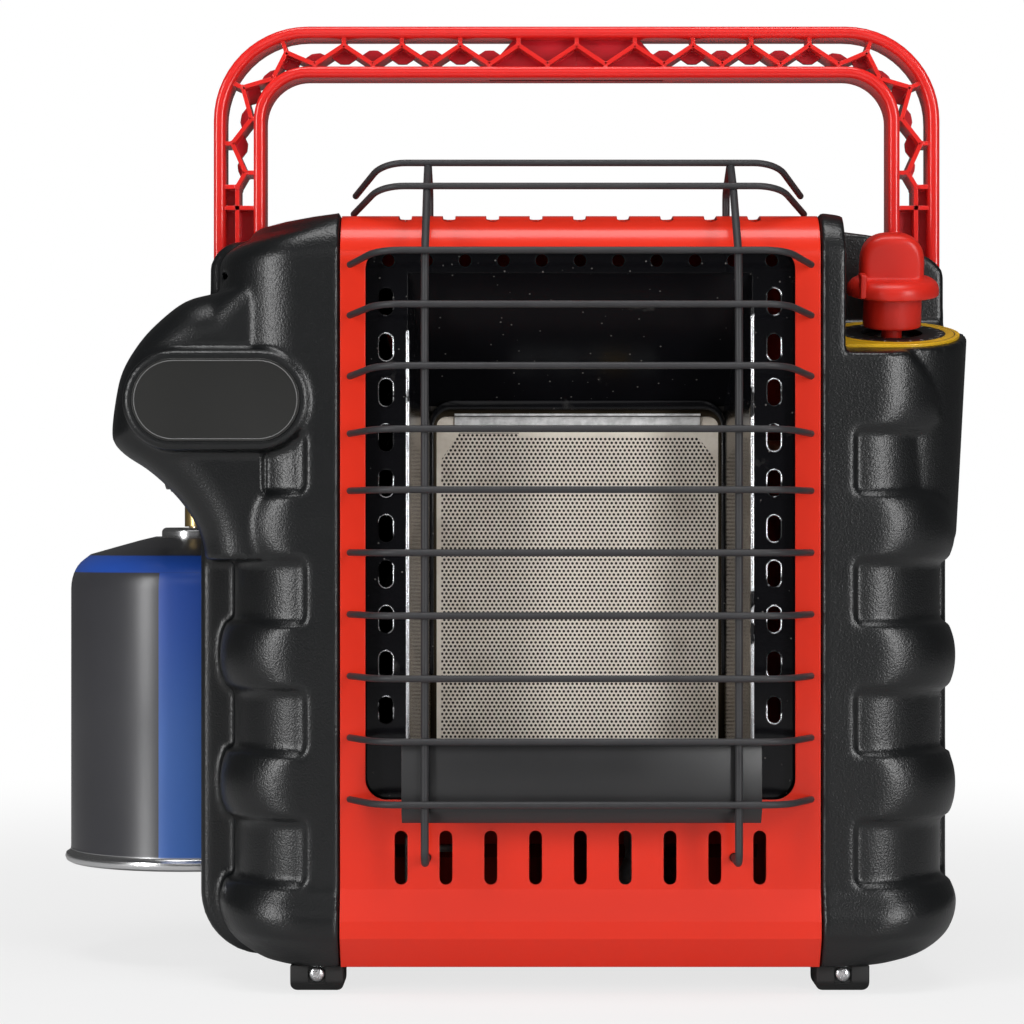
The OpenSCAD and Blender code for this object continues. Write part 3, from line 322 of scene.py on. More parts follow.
def plate(name, outline, front, back):
    """A flat outline, in millimetres across and up, drawn out from front to back."""
    bpy.ops.object.select_all(action="DESELECT")
    bpy.ops.mesh.primitive_circle_add(vertices=len(outline), fill_type="NGON")
    piece = bpy.context.object
    piece.name = name
    for corner, (x, z) in zip(piece.data.vertices, outline):
        corner.co = at(x, front, z)
    bpy.ops.object.transform_apply(location=True, rotation=True, scale=True)
    bpy.ops.object.mode_set(mode="EDIT")
    bpy.ops.mesh.select_all(action="SELECT")
    depth = (0, (back - front) / 1000, 0)
    bpy.ops.mesh.extrude_region_move(TRANSFORM_OT_translate={"value": depth})
    bpy.ops.mesh.select_all(action="SELECT")
    bpy.ops.mesh.normals_make_consistent(inside=False)
    bpy.ops.object.mode_set(mode="OBJECT")
    return piece


def stadium(x, z, width, height, points=24):
    """The outline of a slot with round ends."""
    run = (width - height) / 2
    turns = [math.pi * k / points - math.pi / 2 for k in range(points + 1)]
    right = [(x + run + height / 2 * math.cos(a), z + height / 2 * math.sin(a)) for a in turns]
    left = [(x - run - height / 2 * math.cos(a), z - height / 2 * math.sin(a)) for a in turns]
    return right + left


def cut(piece, *tools, operation="DIFFERENCE"):
    """Cuts tools out of a piece, or adds them to it, and clears them away."""
    for tool in tools:
        apply_modifier(piece, "BOOLEAN", operation=operation, object=tool, solver="EXACT")
        bpy.data.objects.remove(tool)


def ease(low, high, value):
    """0 below low and 1 above high, with a smooth rise between."""
    share = min(1.0, max(0.0, (value - low) / (high - low)))
    return share * share * (3 - 2 * share)


# A panel's inner wall, foot and back; its rounded foot, shoulder, back, front corner and
# brow; how far its lip stands before the case; the kick of the toe.
inner_wall, panel_low, panel_back = 92, 10, 150
foot_r, shoulder_r, shoulder_z, back_r = 25, 12, 282, 12
corner_r, brow_r, brow_z, lip = 34, 19, 281, 1
toe_kick, toe_top, toe_full, toe_end, toe_tuck = 3.5, 41.5, 27.5, 22, 8.5


def face_line(z):
    """How far a panel's face stands behind the case's, following the kicked-out toe."""
    if z > brow_z:
        return brow_r - lip - math.sqrt(max(0.0, brow_r**2 - (z - brow_z) ** 2))
    if z > toe_end:
        return -lip - toe_kick * ease(toe_top, toe_full, z)
    return -lip - toe_kick + toe_tuck * (toe_end - z) / (toe_end - panel_low)


def side_line(z, reach):
    """How far out a panel's side stands, rounded in at the foot and the shoulder."""
    foot_z = panel_low + foot_r
    if z < foot_z:
        return reach - foot_r + math.sqrt(max(0.0, foot_r**2 - (foot_z - z) ** 2))
    if z > shoulder_z:
        return reach - shoulder_r + math.sqrt(max(0.0, shoulder_r**2 - (z - shoulder_z) ** 2))
    return reach


def plan(z, reach, front, radius):
    """One level of a panel: its face, front corner, side, back and inner wall."""
    reach, front = side_line(z, reach), front + face_line(z)
    radius = min(radius, reach - (inner_wall + 3))
    recess_end, back_from = 58, panel_back - back_r
    ring = [(inner_wall + (reach - radius - inner_wall) * k / 22, front) for k in range(22)]
    for k in range(45):
        turn = math.pi / 2 * k / 44
        x = reach - radius + radius * math.sin(turn)
        ring.append((x, front + radius - radius * math.cos(turn)))
    start = front + radius
    ring += [(reach, start + (recess_end - start) * k / 20) for k in range(1, 21)]
    ring += [(reach, recess_end + (back_from - recess_end) * k / 8) for k in range(1, 9)]
    for k in range(1, 7):
        turn = math.pi / 2 * k / 6
        ring.append((reach - back_r + back_r * math.cos(turn), back_from + back_r * math.sin(turn)))
    run = reach - (inner_wall + back_r)
    ring += [(reach - back_r - run * k / 5, panel_back) for k in range(1, 6)]
    ring += [(inner_wall, panel_back + (front - panel_back) * k / 6) for k in range(1, 6)]
    return ring


# The recesses: the step from one to the next, half of one's straight height, its corners'
# radius and its walls' slope; where they start and end; how the ribs between them swell.
recess_step, recess_half, recess_r, recess_slope = 49.9, 9.4, 3.1, 0.9
recesses = [54.0 + recess_step * k for k in range(4)]
recess_x, face_end, recess_y, recess_deep = 108.7, 12, 52, 5.8
recess_low, recess_high, fade_low, fade_high = 41.5, 216.2, 8.5, 12
rib_half, rib_swell, rib_power = 12.4, 0.46, 2.2


def hollowed(x, y, z):
    """How deep the finger recesses bite at a point: 1 on their floors, 0 on the skin."""
    nearest = min(recesses, key=lambda middle: abs(z - middle))
    out_x = max(0.0, recess_x - x) if y < face_end else 0.0
    out_y = max(0.0, y - recess_y)
    out_z = max(0.0, abs(z - nearest) - recess_half)
    outside = math.hypot(max(out_x, out_y), out_z) - recess_r
    floor = 1 - ease(-recess_slope, recess_slope, outside)
    if z < recess_low:
        gap = max(0.0, (z - (recess_low - fade_low)) / fade_low)
    elif z > recess_high:
        gap = max(0.0, 1 - (z - recess_high) / fade_high)
    else:
        off_middle = abs((z - recesses[0]) % recess_step - recess_step / 2)
        gap = min(1.0, off_middle / rib_half)
    swell = rib_swell * gap**rib_power * ease(109, 128, x) * (1 - ease(50, 58, y))
    return max(floor, swell * (1 - floor))


def panel_body(name, reach):
    """The closed form of a panel on the knob's side, drawn over a plain grid."""
    levels = [panel_low + 1.25 * k for k in range(232)]
    crown, crown_fall, top = 299.8, 0.135, levels[-1]
    rings = []
    for z in levels:
        skin = plan(z, reach, 0, corner_r)
        floor = plan(z, reach - recess_deep, 2, corner_r)
        ring = []
        for (x, y), (deep_x, deep_y) in zip(skin, floor):
            bite = hollowed(x, y, z)
            x, y = x + (deep_x - x) * bite, y + (deep_y - y) * bite
            lift = (crown - crown_fall * (x - inner_wall) - top) * ease(268, top, z)
            ring.append(at(x, y, z + lift))
        rings.append(ring)
    count = len(rings[0])
    bpy.ops.object.select_all(action="DESELECT")
    bpy.ops.mesh.primitive_grid_add(x_subdivisions=count, y_subdivisions=len(levels) - 1)
    piece = bpy.context.object
    piece.name = name
    row = count + 1
    for index, corner in enumerate(piece.data.vertices):
        corner.co = rings[index // row][index % row % count]
    bpy.ops.object.mode_set(mode="EDIT")
    bpy.ops.mesh.select_all(action="SELECT")
    bpy.ops.mesh.remove_doubles(threshold=0.00001)
    bpy.ops.mesh.select_all(action="DESELECT")
    bpy.ops.mesh.select_non_manifold()
    bpy.ops.mesh.fill_holes(sides=0)
    bpy.ops.mesh.select_all(action="SELECT")
    bpy.ops.mesh.normals_make_consistent(inside=False)
    bpy.ops.object.mode_set(mode="OBJECT")
    return piece


def mirrored_half(piece):
    """Turns a piece drawn on the knob's side into one on the canister's side."""
    across = Matrix.Translation((2 * case_x / 1000, 0, 0))
    piece.data.transform(across @ Matrix.Scale(-1, 4, (1, 0, 0)))
    outward(piece)


def cast(piece, *others, size=0.0013, rounds=2):
    """Melts closed forms into one skin with small fillets, as a mould would."""
    only(piece, *others)
    bpy.ops.object.join()
    apply_modifier(piece, "REMESH", mode="VOXEL", voxel_size=size)
    apply_modifier(piece, "SMOOTH", factor=0.5, iterations=rounds)
    only(piece)
    bpy.ops.object.shade_smooth()


def flowing(points, steps=5):
    """A smooth line through an outline's points."""
    line = []
    for k in range(len(points) - 1):
        before = Vector(points[max(0, k - 1)])
        start, end = Vector(points[k]), Vector(points[k + 1])
        after = Vector(points[min(len(points) - 1, k + 2)])
        for step in range(steps):
            t = step / steps
            line.append(tuple(0.5 * (
                2 * start + (end - before) * t
                + (2 * before - 5 * start + 4 * end - after) * t * t
                + (3 * start - before - 3 * end + after) * t**3
            )))
    return line + [points[-1]]


def handle_pocket(name):
    """The room that the handle's foot and its folded rails need in a panel."""
    pocket = block(name, (125.5, 65, 266), (190, 240, 340))
    cut(pocket, block("bow_corner", (108.5, 138, 266), (190, 240, 340)), operation="UNION")
    return pocket


knob_x, knob_y, ledge_z, ledge_tilt = 123, 35, 254, 14
ledge_turn = Matrix.Rotation(math.radians(ledge_tilt), 4, "X")
ledge = Matrix.Translation(at(knob_x, knob_y, ledge_z)) @ ledge_turn
right_panel = panel_body("right_panel", 147.5)
niche = block("niche", (101.2, -65, 0), (190, 135, 120))
niche.data.transform(ledge @ Matrix.Translation(-at(knob_x, knob_y, 0)))
cut(niche, block("niche_end", (0, 62, 150), (230, 300, 420)))
housing = drum("housing", (knob_x, knob_y, 171), 25, 95, top=30)
bevel(housing, 6, 5)
for form in (right_panel, housing):
    cut(form, own_copy(niche), drum("valve_bore", (knob_x, 46.6, 207.4), 12, 60, ledge_tilt))
bpy.data.objects.remove(niche)
crest = [(121.5, 252), (124.5, 247), (130, 240.5), (134.5, 234), (137.5, 226), (139.5, 217),
         (143, 207), (149, 199), (160, 197), (160, 252)]
cut(right_panel, handle_pocket("right_pocket"), plate("above_crest", flowing(crest), -10, 31))
cast(right_panel, housing)


def round_edges(piece, chosen, radius, segments):
    """Rounds the edges whose two ends pass a test, by a radius in millimetres."""
    only(piece)
    bpy.ops.object.mode_set(mode="EDIT")
    bpy.ops.mesh.select_mode(type="EDGE")
    bpy.ops.mesh.select_all(action="DESELECT")
    bpy.ops.object.mode_set(mode="OBJECT")
    for edge in piece.data.edges:
        edge.select = chosen(*[piece.data.vertices[k].co for k in edge.vertices])
    bpy.ops.object.mode_set(mode="EDIT")
    bpy.ops.mesh.bevel(offset=radius / 1000, segments=segments)
    bpy.ops.mesh.select_mode(type="VERT")
    bpy.ops.object.mode_set(mode="OBJECT")


hood_face, hood_low, hood_top, hood_in = 5, 166, 269.7, 122
rim_line = [(140.2, hood_top), (152.8, 266.3), (164.2, 257.5), (171.8, 248.8), (177.6, 238.5),
            (180.2, 227), (181.4, 215.6), (180.2, 210.6), (175.6, 206), (168, 201.1),
            (160.4, 194.6), (152.7, 185.8), (147, 175.5), (145.1, hood_low)]
hood_line = flowing(rim_line) + [(hood_in, hood_low), (hood_in, hood_top)]
hood = plate("hood", hood_line, hood_face, panel_back)
face_limit = at(130, hood_face + 0.1, 0)
round_edges(hood, lambda a, b: max(a.y, b.y) < face_limit.y and min(a.x, b.x) > face_limit.x, 17, 8)
heart, hood_wall = Vector((138, 222)), 3.2
inner_line = [tuple(Vector(p) + (heart - Vector(p)).normalized() * hood_wall) for p in rim_line]
room = plate("room", flowing(inner_line) + [(112, 170), (112, 266)], 14, 160)
cut(room, block("floor_cut", (90, -5, 150), (200, 170, 188.2)),
    block("roof_cut", (90, -5, 262.5), (200, 170, 290)))
side_x, side_in = 149, 100
turn_x, turn_z = side_x - foot_r, panel_low + foot_r
foot_turn = [(turn_x + foot_r * math.sin(k / 5), turn_z - foot_r * math.cos(k / 5))
             for k in range(1, 8)]
side_wall = plate(
    "side_wall",
    [(side_in, panel_low), (turn_x, panel_low)]
    + foot_turn
    + [(side_x, turn_z), (side_x, 196), (145.4, 262), (145.2, 282), (142.5, 288), (137, 291),
       (side_in, 296)],
    38,
    panel_back,
)
bevel(side_wall, 3.5, 4)
badge_x, badge_z = 139, 227
boss = plate("boss", stadium(badge_x, badge_z, 71.7, 38.9), -3, 27)
bevel(boss, 2.6, 4)
cut(boss, plate("badge_seat", stadium(badge_x, badge_z, 64.6, 32.2), -6, -1.9))
can_x, can_y, bay_r = 158, 117, 59
left_panel = panel_body("left_panel", 140.5)
slot = block("slot", (136.2, 95.2, 168), (179.8, 170, 219.5))
for form in (left_panel, side_wall, hood):
    bay = drum("bay", (can_x, can_y, -1), bay_r, 186, sides=96)
    behind = block("bay_back", (can_x - bay_r, can_y, -1), (can_x + bay_r, 270, 185))
    cut(bay, behind, operation="UNION")
    cut(form, bay, handle_pocket("left_pocket"), own_copy(room), own_copy(slot))
for form in (room, slot):
    bpy.data.objects.remove(form)
cut(left_panel, plate("peg_hole", stadium(137.5, 276.2, 3.4, 3.4), -10, 34))
cut(left_panel, block("slit", (135.5, -10, 270.6), (146, 34, 271.5)))
cast(left_panel, side_wall, hood, boss, size=0.0014)
mirrored_half(left_panel)

panel_plastic, skin, place = new_finish("black_plastic", (0.0045, 0.005, 0.0055), 0.32)
grain = noise(place, 1400.0, 1.0)
cloud = noise(place, 30.0, 3.0)
(0.27 + 0.08 * cloud).to(skin, "Roughness")
rippled(grain, 0.00016, None, 0.7).to(skin, "Normal")
for panel in (left_panel, right_panel):
    paint(panel, panel_plastic)
    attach(panel, "casing")
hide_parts("left_end_panel")
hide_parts("right_end_panel")


# The handle: one glossy red moulding that folds back on the two pins at its feet. Two
# round-edged rails run up, over and down, with a zigzag of ribs between them and a thin
# web half-way through, painted a darker red as shade.
def merged(piece, *others):
    """Joins finished forms into one object without melting them together."""
    only(piece, *others)
    bpy.ops.object.join()


bow_half, bow_top, bow_bend, bow_front, bow_back = 146.5, 381, 38, 66, 84
pin_y, pin_z, rail_wide, rib_wide = 75, 278, 4.6, 1.7


def rail(name, out):
    """A rail of the bow, which starts some way inside the bow's outer face."""
    def edge(inset):
        turns = [math.pi / 2 * k / 14 for k in range(15)]
        bend, x, z = bow_bend - inset, bow_half - bow_bend, bow_top - bow_bend
        right = [(x + bend * math.sin(a), z + bend * math.cos(a)) for a in turns]
        right.append((bow_half - inset, pin_z))
        return [(-x, z) for x, z in reversed(right)] + right

    piece = plate(name, edge(out) + edge(out + rail_wide)[::-1], bow_front, bow_back)
    bevel(piece, 1.7, 4, 40)
    return piece


def bar(start, end, inset, side):
    """A straight rib between two points of the bow, set in from its front and back."""
    start, end = Vector(start), Vector(end)
    across = (end - start).normalized().orthogonal() * rib_wide / 2
    corners = (start + across, end + across, end - across, start - across)
    line = [(side * x, z) for x, z in corners]
    return plate("rib", line, bow_front + inset, bow_back - inset)


zigzag = [Vector((11.75 * k, 365.7 if k % 2 else 373.5)) for k in range(10)]
zigzag += [Vector(p) for p in (
    (117.2, 370.6), (122.6, 360), (134.8, 356.4), (131.3, 343.7), (139, 333.8),
    (133.7, 322), (137, 316.3),
)]
spurs = [(zigzag[k], (zigzag[k].x, 361.5 if k % 2 else 379)) for k in range(10)]
spurs += [(zigzag[10 + k], zigzag[10 + k] + Vector(reach)) for k, reach in enumerate(
    ((2.6, 7.6), (-3.6, -2.8), (7.6, 3.5), (-4.2, 0), (5, 0), (-5, 0), (0, -38))
)]
spurs += [(zigzag[16], (144.5, 316.3)), ((126.8, 307.8), (144.5, 307.8))]
handle = rail("bow", 0)
forms = [rail("inner_rail", 16.1)]
webs = []
for side in (-1, 1):
    forms += [bar(start, end, 1, side) for start, end in zip(zigzag, zigzag[1:])]
    for k, (start, end) in enumerate(spurs[1:] if side < 0 else spurs):
        forms.append(bar(start, end, 1.2 + 0.15 * (k % 2), side))
    forms += [plate("knot", stadium(side * p.x, p.y, 2.3, 2.3, 8), 67.1, 82.9)
              for p in (zigzag[1:] if side < 0 else zigzag)]
    outlines = [
        [(0, 360.3), (35.25, 360.3), (35.25, 365.7), (23.5, 379), (0, 379)],
        [(137, 307.8), (145, 307.8), (145, 316.3), (137, 316.3)],
        [(126, 279), (146, 279), (146, 307.8), (126, 307.8)],
    ]
    for k in range(3, 16):
        corner = zigzag[k]
        before, after = (corner + zigzag[k - 1]) / 2, (corner + zigzag[k + 1]) / 2
        tip = before + after - corner
        outlines.append([corner, before, before + (tip - before) * 0.7,
                         tip + (corner - tip) * 0.14, after + (tip - after) * 0.7, after])
    webs += [plate("web", [(side * x, z) for x, z in line], 74, 76) for line in outlines]
    bpy.ops.object.select_all(action="DESELECT")
    bpy.ops.mesh.primitive_cylinder_add(
        vertices=48, radius=0.009, depth=0.0207, rotation=(0, math.pi / 2, 0),
        location=at(side * 136.15, pin_y, pin_z),
    )
    eye_piece = bpy.context.object
    bpy.ops.object.transform_apply(location=True, rotation=True, scale=True)
    bevel(eye_piece, 1.2, 3)
    forms.append(eye_piece)
merged(handle, *forms)
merged(webs[0], *webs[1:])


def gloss_plastic(name, colour, roughness=0.16):
    """A glossy moulding whose skin is faintly uneven."""
    made, skin, place = new_finish(name, colour, roughness, Specular_IOR_Level=0.55)
    cloud = noise(place, 60.0, 2.0)
    cloud.blend(tinted(colour, 0.93), tinted(colour, 1.05)).to(skin, "Base Color")
    (roughness - 0.03 + 0.08 * cloud).to(skin, "Roughness")
    rippled(cloud, 0.00012, 0.0004, 0.25).to(skin, "Normal")
    return made


red_gloss = gloss_plastic("red_plastic", (0.76, 0.022, 0.018))
# Painted shade: the recessed web is given a darker red than the rest of the same moulding.
web_red_painted_shade = gloss_plastic("red_plastic_web_painted_shade", (0.50, 0.008, 0.018), 0.25)
paint(handle, red_gloss)
paint(webs[0], web_red_painted_shade)
merged(handle, webs[0])
smooth(handle, 35)
handle.name = "bow_moulding"
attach(handle, "bow")
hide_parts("handle")


# The guard: twelve cross wires of dark painted steel, their tips bent back, welded over
# two uprights that hook into the top of the case and into its face.
def bent_rod(name, corners, width, bend, sides=16):
    """A round rod along a path in millimetres, bent round the path's inner corners."""
    corners = [Vector(p) for p in corners]
    stops, bends = [corners[0]], []
    for before, corner, after in zip(corners, corners[1:], corners[2:]):
        inward, outward = (corner - before).normalized(), (after - corner).normalized()
        turn = inward.angle(outward)
        axis = inward.cross(outward).normalized()
        reach = bend * math.tan(turn / 2)
        stops += [corner - inward * reach, corner + outward * reach]
        bends.append((turn, axis, corner - inward * reach + axis.cross(inward) * bend))
    stops.append(corners[-1])
    heading = (corners[1] - corners[0]).normalized()
    bpy.ops.object.select_all(action="DESELECT")
    bpy.ops.mesh.primitive_circle_add(
        vertices=sides, radius=width / 2000, fill_type="NGON",
        location=at(*stops[0]), rotation=heading.to_track_quat("Z", "Y").to_euler(),
    )
    piece = bpy.context.object
    piece.name = name
    bpy.ops.object.transform_apply(location=True, rotation=True, scale=True)
    bpy.ops.object.mode_set(mode="EDIT")
    bpy.ops.mesh.select_all(action="SELECT")
    for k in range(0, len(stops), 2):
        run = (stops[k + 1] - stops[k]) / 1000
        bpy.ops.mesh.extrude_region_move(TRANSFORM_OT_translate={"value": run})
        if k + 2 < len(stops):
            turn, axis, centre = bends[k // 2]
            steps = max(3, round(math.degrees(turn) / 8))
            bpy.ops.mesh.spin(steps=steps, angle=-turn, center=at(*centre), axis=axis)
    bpy.ops.mesh.select_all(action="SELECT")
    bpy.ops.mesh.remove_doubles(threshold=0.000001)
    bpy.ops.mesh.normals_make_consistent(inside=False)
    bpy.ops.object.mode_set(mode="OBJECT")
    bevel(piece, width * 0.3, 3, 60)
    smooth(piece, 50)
    return piece


# Each cross wire's height, its place before the face, its tips' tilt and their run back.
rows = [(74.8 + 23.5 * k, -27, 0, 26) for k in range(6)]
rows += [(215, -27, 2, 26), (238.6, -27, 6, 26), (261.6, -26, 6, 24.5), (282, -23, 10, 21.5),
         (309, 3, 19, 26), (319.7, 18, 24, 26)]
tip_x, elbow_x, post_x = 88.2, 76.2, 58.7
wires = []
for z, y, tilt, run in rows:
    lean = math.radians(tilt)
    tip_y, tip_z = y + run * math.cos(lean), z - run * math.sin(lean)
    path = [(-tip_x, tip_y, tip_z), (-elbow_x, y, z), (elbow_x, y, z), (tip_x, tip_y, tip_z)]
    wires.append(bent_rod("cross_wire", path, 2.6, 14))
merged(*wires)
line = [(4, 52.4), (-24.2, 52.4), (-24.2, 238.8), (-23.2, 261.1), (-20.2, 282), (5.8, 309),
        (20.8, 319.7), (45, 311), (45, 296)]
posts = [bent_rod("upright", [(side * post_x, y, z) for y, z in line], 3, 5) for side in (-1, 1)]
merged(*posts)

wire_paint, skin, place = new_finish(
    "wire_paint", (0.032, 0.031, 0.034), 0.42, Specular_IOR_Level=0.35
)
cloud = noise(place, 120.0, 3.0)
orange_peel = noise(place, 1500.0, 1.0)
cloud.blend((0.026, 0.026, 0.028, 1), (0.042, 0.041, 0.044, 1)).to(skin, "Base Color")
(0.4 + 0.16 * cloud).to(skin, "Roughness")
rippled(orange_peel, 0.00005, None, 0.3).to(skin, "Normal")
for piece, node in ((wires[0], "guard_cross_wires"), (posts[0], "guard_uprights")):
    paint(piece, wire_paint)
    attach(piece, "casing")
    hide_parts(node)


# The burner tile: a slab of pale fired ceramic drilled with thousands of fine flame holes
# in a close pattern, whose field stops short of the edges and is cut off at the corners.
def flame_field(columns, pairs, pitch, low, left, front, deep):
    """A slab of open-fronted holes: one drilled cell, then pairs of rows side by side."""
    step, sixth = pitch * math.sin(math.pi / 3) / 1000, math.pi / 3
    wide, hole = pitch / 1000, 0.0006
    rim = [(0, step / 2), (wide / 2, step / 2), (wide / 2, -step / 2), (0, -step / 2),
           (-wide / 2, -step / 2), (-wide / 2, step / 2)]
    cells = []
    for row in range(2):
        spot = at(left, front, low) + Vector((wide / 2 * row, 0, step * row))
        bpy.ops.object.select_all(action="DESELECT")
        bpy.ops.mesh.primitive_circle_add(vertices=6, radius=hole, fill_type="NGON")
        cell = bpy.context.object
        for k, corner in enumerate(cell.data.vertices):
            turn = math.pi / 2 - sixth * k
            corner.co = Vector((hole * math.cos(turn), 0, hole * math.sin(turn))) + spot
        bpy.ops.object.mode_set(mode="EDIT")
        bpy.ops.mesh.select_all(action="SELECT")
        bpy.ops.mesh.delete(type="ONLY_FACE")
        bpy.ops.mesh.select_all(action="SELECT")
        bpy.ops.mesh.extrude_region_move(TRANSFORM_OT_translate={"value": (0, 0, 0)})
        bpy.ops.object.mode_set(mode="OBJECT")
        for corner in cell.data.vertices:
            if corner.select:
                off = corner.co - spot
                k = round((math.pi / 2 - math.atan2(off.z, off.x)) / sixth) % 6
                corner.co = spot + Vector((rim[k][0], 0, rim[k][1]))
            corner.select = not corner.select
        for edge in cell.data.edges:
            edge.select = all(cell.data.vertices[k].select for k in edge.vertices)
        bpy.ops.object.mode_set(mode="EDIT")
        bpy.ops.mesh.extrude_region_move(TRANSFORM_OT_translate={"value": (0, deep / 1000, 0)})
        bpy.ops.mesh.edge_face_add()
        bpy.ops.object.mode_set(mode="OBJECT")
        cells.append(cell)
    merged(*cells)
    field = cells[0]
    ways = ((columns, (wide, 0, 0)), (pairs, (0, 0, 2 * step)))
    for count, shift in ways:
        settings = {"count": count, "use_relative_offset": False, "use_constant_offset": True}
        settings |= {"constant_offset_displace": shift, "use_merge_vertices": True}
        apply_modifier(field, "ARRAY", merge_threshold=0.00001, **settings)
    bpy.ops.object.mode_set(mode="EDIT")
    bpy.ops.mesh.select_all(action="SELECT")
    bpy.ops.mesh.remove_doubles(threshold=0.00001)
    bpy.ops.mesh.select_all(action="DESELECT")
    bpy.ops.mesh.select_non_manifold()
    back = {"value": (0, (deep + 0.8) / 1000, 0)}
    bpy.ops.mesh.extrude_region_move(TRANSFORM_OT_translate=back)
    bpy.ops.mesh.edge_face_add()
    bpy.ops.mesh.select_all(action="SELECT")
    bpy.ops.mesh.normals_make_consistent(inside=False)
    bpy.ops.object.mode_set(mode="OBJECT")
    return field


def round_top(x0, x1, z0, z1, bend):
    """A rectangle with its two upper corners rounded."""
    line = [(x0, z0), (x1, z0)]
    for cx, first in ((x1 - bend, 0), (x0 + bend, math.pi / 2)):
        turns = [first + math.pi / 16 * k for k in range(9)]
        line += [(cx + bend * math.cos(a), z1 - bend + bend * math.sin(a)) for a in turns]
    return line


tile = flame_field(columns=64, pairs=41, pitch=1.738, low=93.6, left=-54.9, front=55.06, deep=2.4)
slab_line = round_top(-57.5, 57.5, 90, 225, 3)
face = plate("tile_face", slab_line, 55, 58)
opening = [(-54.4, 93.2), (55.4, 93.2), (55.4, 205.4), (48.2, 214.9), (-23.4, 214.9),
           (-23.4, 216.5), (-47.2, 216.5), (-54.4, 205.8)]
cut(face, plate("field_opening", opening, 50, 70))
slab = plate("tile_slab", slab_line, 57.6, 68)
merged(tile, face, slab)
tile.name = "tile_drilled"
fired, skin, place = new_finish("tile_ceramic", (0.80, 0.74, 0.66), 0.85)
across = place.node("SeparateXYZ", None, {"Vector": place}, 0) - case_x / 1000
deep = place.node("SeparateXYZ", None, {"Vector": place}, 1)
stain = noise(place, 55.0, 4.0)
fine = noise(place, 700.0, 2.0)
margin = across.math("ABSOLUTE", across).step(0.018, 0.05)
worn = stain.step(0.42, 0.68) * (0.1 + 0.9 * margin)
clean = fine.blend((0.77, 0.69, 0.59, 1), (0.89, 0.83, 0.74, 1))
surface = (worn * 0.4).blend(clean, (0.42, 0.35, 0.27, 1))
# Painted shade: everything behind the tile's face, the insides of the flame holes and the slab, is
# coloured a dark brown that is nearly black.
inside = deep.step(-0.01715, -0.0162)
inside.blend(surface, (0.03, 0.02, 0.013, 1)).to(skin, "Base Color")
rippled(fine, 0.00012, None, 0.5).to(skin, "Normal")
paint(tile, fired)
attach(tile, "casing")
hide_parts("burner_tile")


# The gas knob: a satin red moulding on the tilted ledge, with a round-shouldered flange, a
# straight skirt, a domed grip across the top and a raised pointer on the left.
def turned(name, profile, steps=72):
    """A piece turned round the upright axis from a profile of radii and heights."""
    bpy.ops.object.select_all(action="DESELECT")
    bpy.ops.mesh.primitive_circle_add(vertices=len(profile), fill_type="NOTHING")
    piece = bpy.context.object
    piece.name = name
    for corner, (radius, height) in zip(piece.data.vertices, profile):
        corner.co = (radius / 1000, 0, height / 1000)
    bpy.ops.object.mode_set(mode="EDIT")
    bpy.ops.mesh.select_all(action="SELECT")
    bpy.ops.mesh.spin(steps=steps, angle=math.tau, center=(0, 0, 0), axis=(0, 0, 1))
    bpy.ops.mesh.select_all(action="SELECT")
    bpy.ops.mesh.remove_doubles(threshold=0.000005)
    bpy.ops.mesh.dissolve_degenerate(threshold=0.000005)
    bpy.ops.mesh.normals_make_consistent(inside=False)
    bpy.ops.object.mode_set(mode="OBJECT")
    return piece


flange_r, flange_low, flange_top, skirt_r, skirt_low = 18, 16.2, 23.2, 11.4, 3.6
shoulder = [(flange_r - 5 + 5 * math.cos(a), 18.4 + 4.8 * math.sin(a))
            for a in (0.0, 0.25, 0.5, 0.75, 1.0, 1.25, math.pi / 2)]
knob_body = turned("knob_body", [
    (0, 8), (7.5, 8), (7.5, skirt_low), (skirt_r - 0.4, skirt_low), (skirt_r, skirt_low + 0.4),
    (skirt_r, flange_low), (flange_r - 0.4, flange_low), (flange_r, flange_low + 0.4),
    *shoulder, (0, flange_top)])
grip_half, grip_thick, grip_x = 12.4, 6.4, -0.8
arch = [(-grip_half, 20), (grip_half, 20)]
for k in range(25):
    turn = math.pi * k / 24
    side = math.copysign(abs(math.cos(turn)) ** 0.72, math.cos(turn))
    arch.append((grip_half * side, 28 + grip_half * math.sin(turn) ** 0.8))
grip = plate("grip", [(x + grip_x - case_x, z) for x, z in arch],
             -case_y - grip_thick, -case_y + grip_thick)
bevel(grip, 3.4, 6, 40)
pointer = block("pointer", (-14.2 - case_x, -13.4 - case_y, 16.6),
                (-11.7 - case_x, -7 - case_y, 26))
bevel(pointer, 0.6, 3)
cast(knob_body, grip, size=0.0005, rounds=5)
stem = turned("stem", [(0, -12), (4, -12), (4, 9), (0, 9)], 32)
smooth(stem, 40)
cast(pointer, size=0.00035, rounds=3)
merged(knob_body, pointer, stem)
knob_body.data.transform(ledge)
knob_red, skin, place = new_finish("knob_red", (0.62, 0.02, 0.011), 0.3, Specular_IOR_Level=0.35)
cloud = noise(place, 90.0, 2.0)
grain = noise(place, 2500.0, 1.0)
cloud.blend((0.59, 0.018, 0.010, 1), (0.66, 0.024, 0.013, 1)).to(skin, "Base Color")
(0.28 + 0.12 * cloud).to(skin, "Roughness")
rippled(grain, 0.00003, None, 0.3).to(skin, "Normal")
paint(knob_body, knob_red)
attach(knob_body, "knob")
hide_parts("knob")


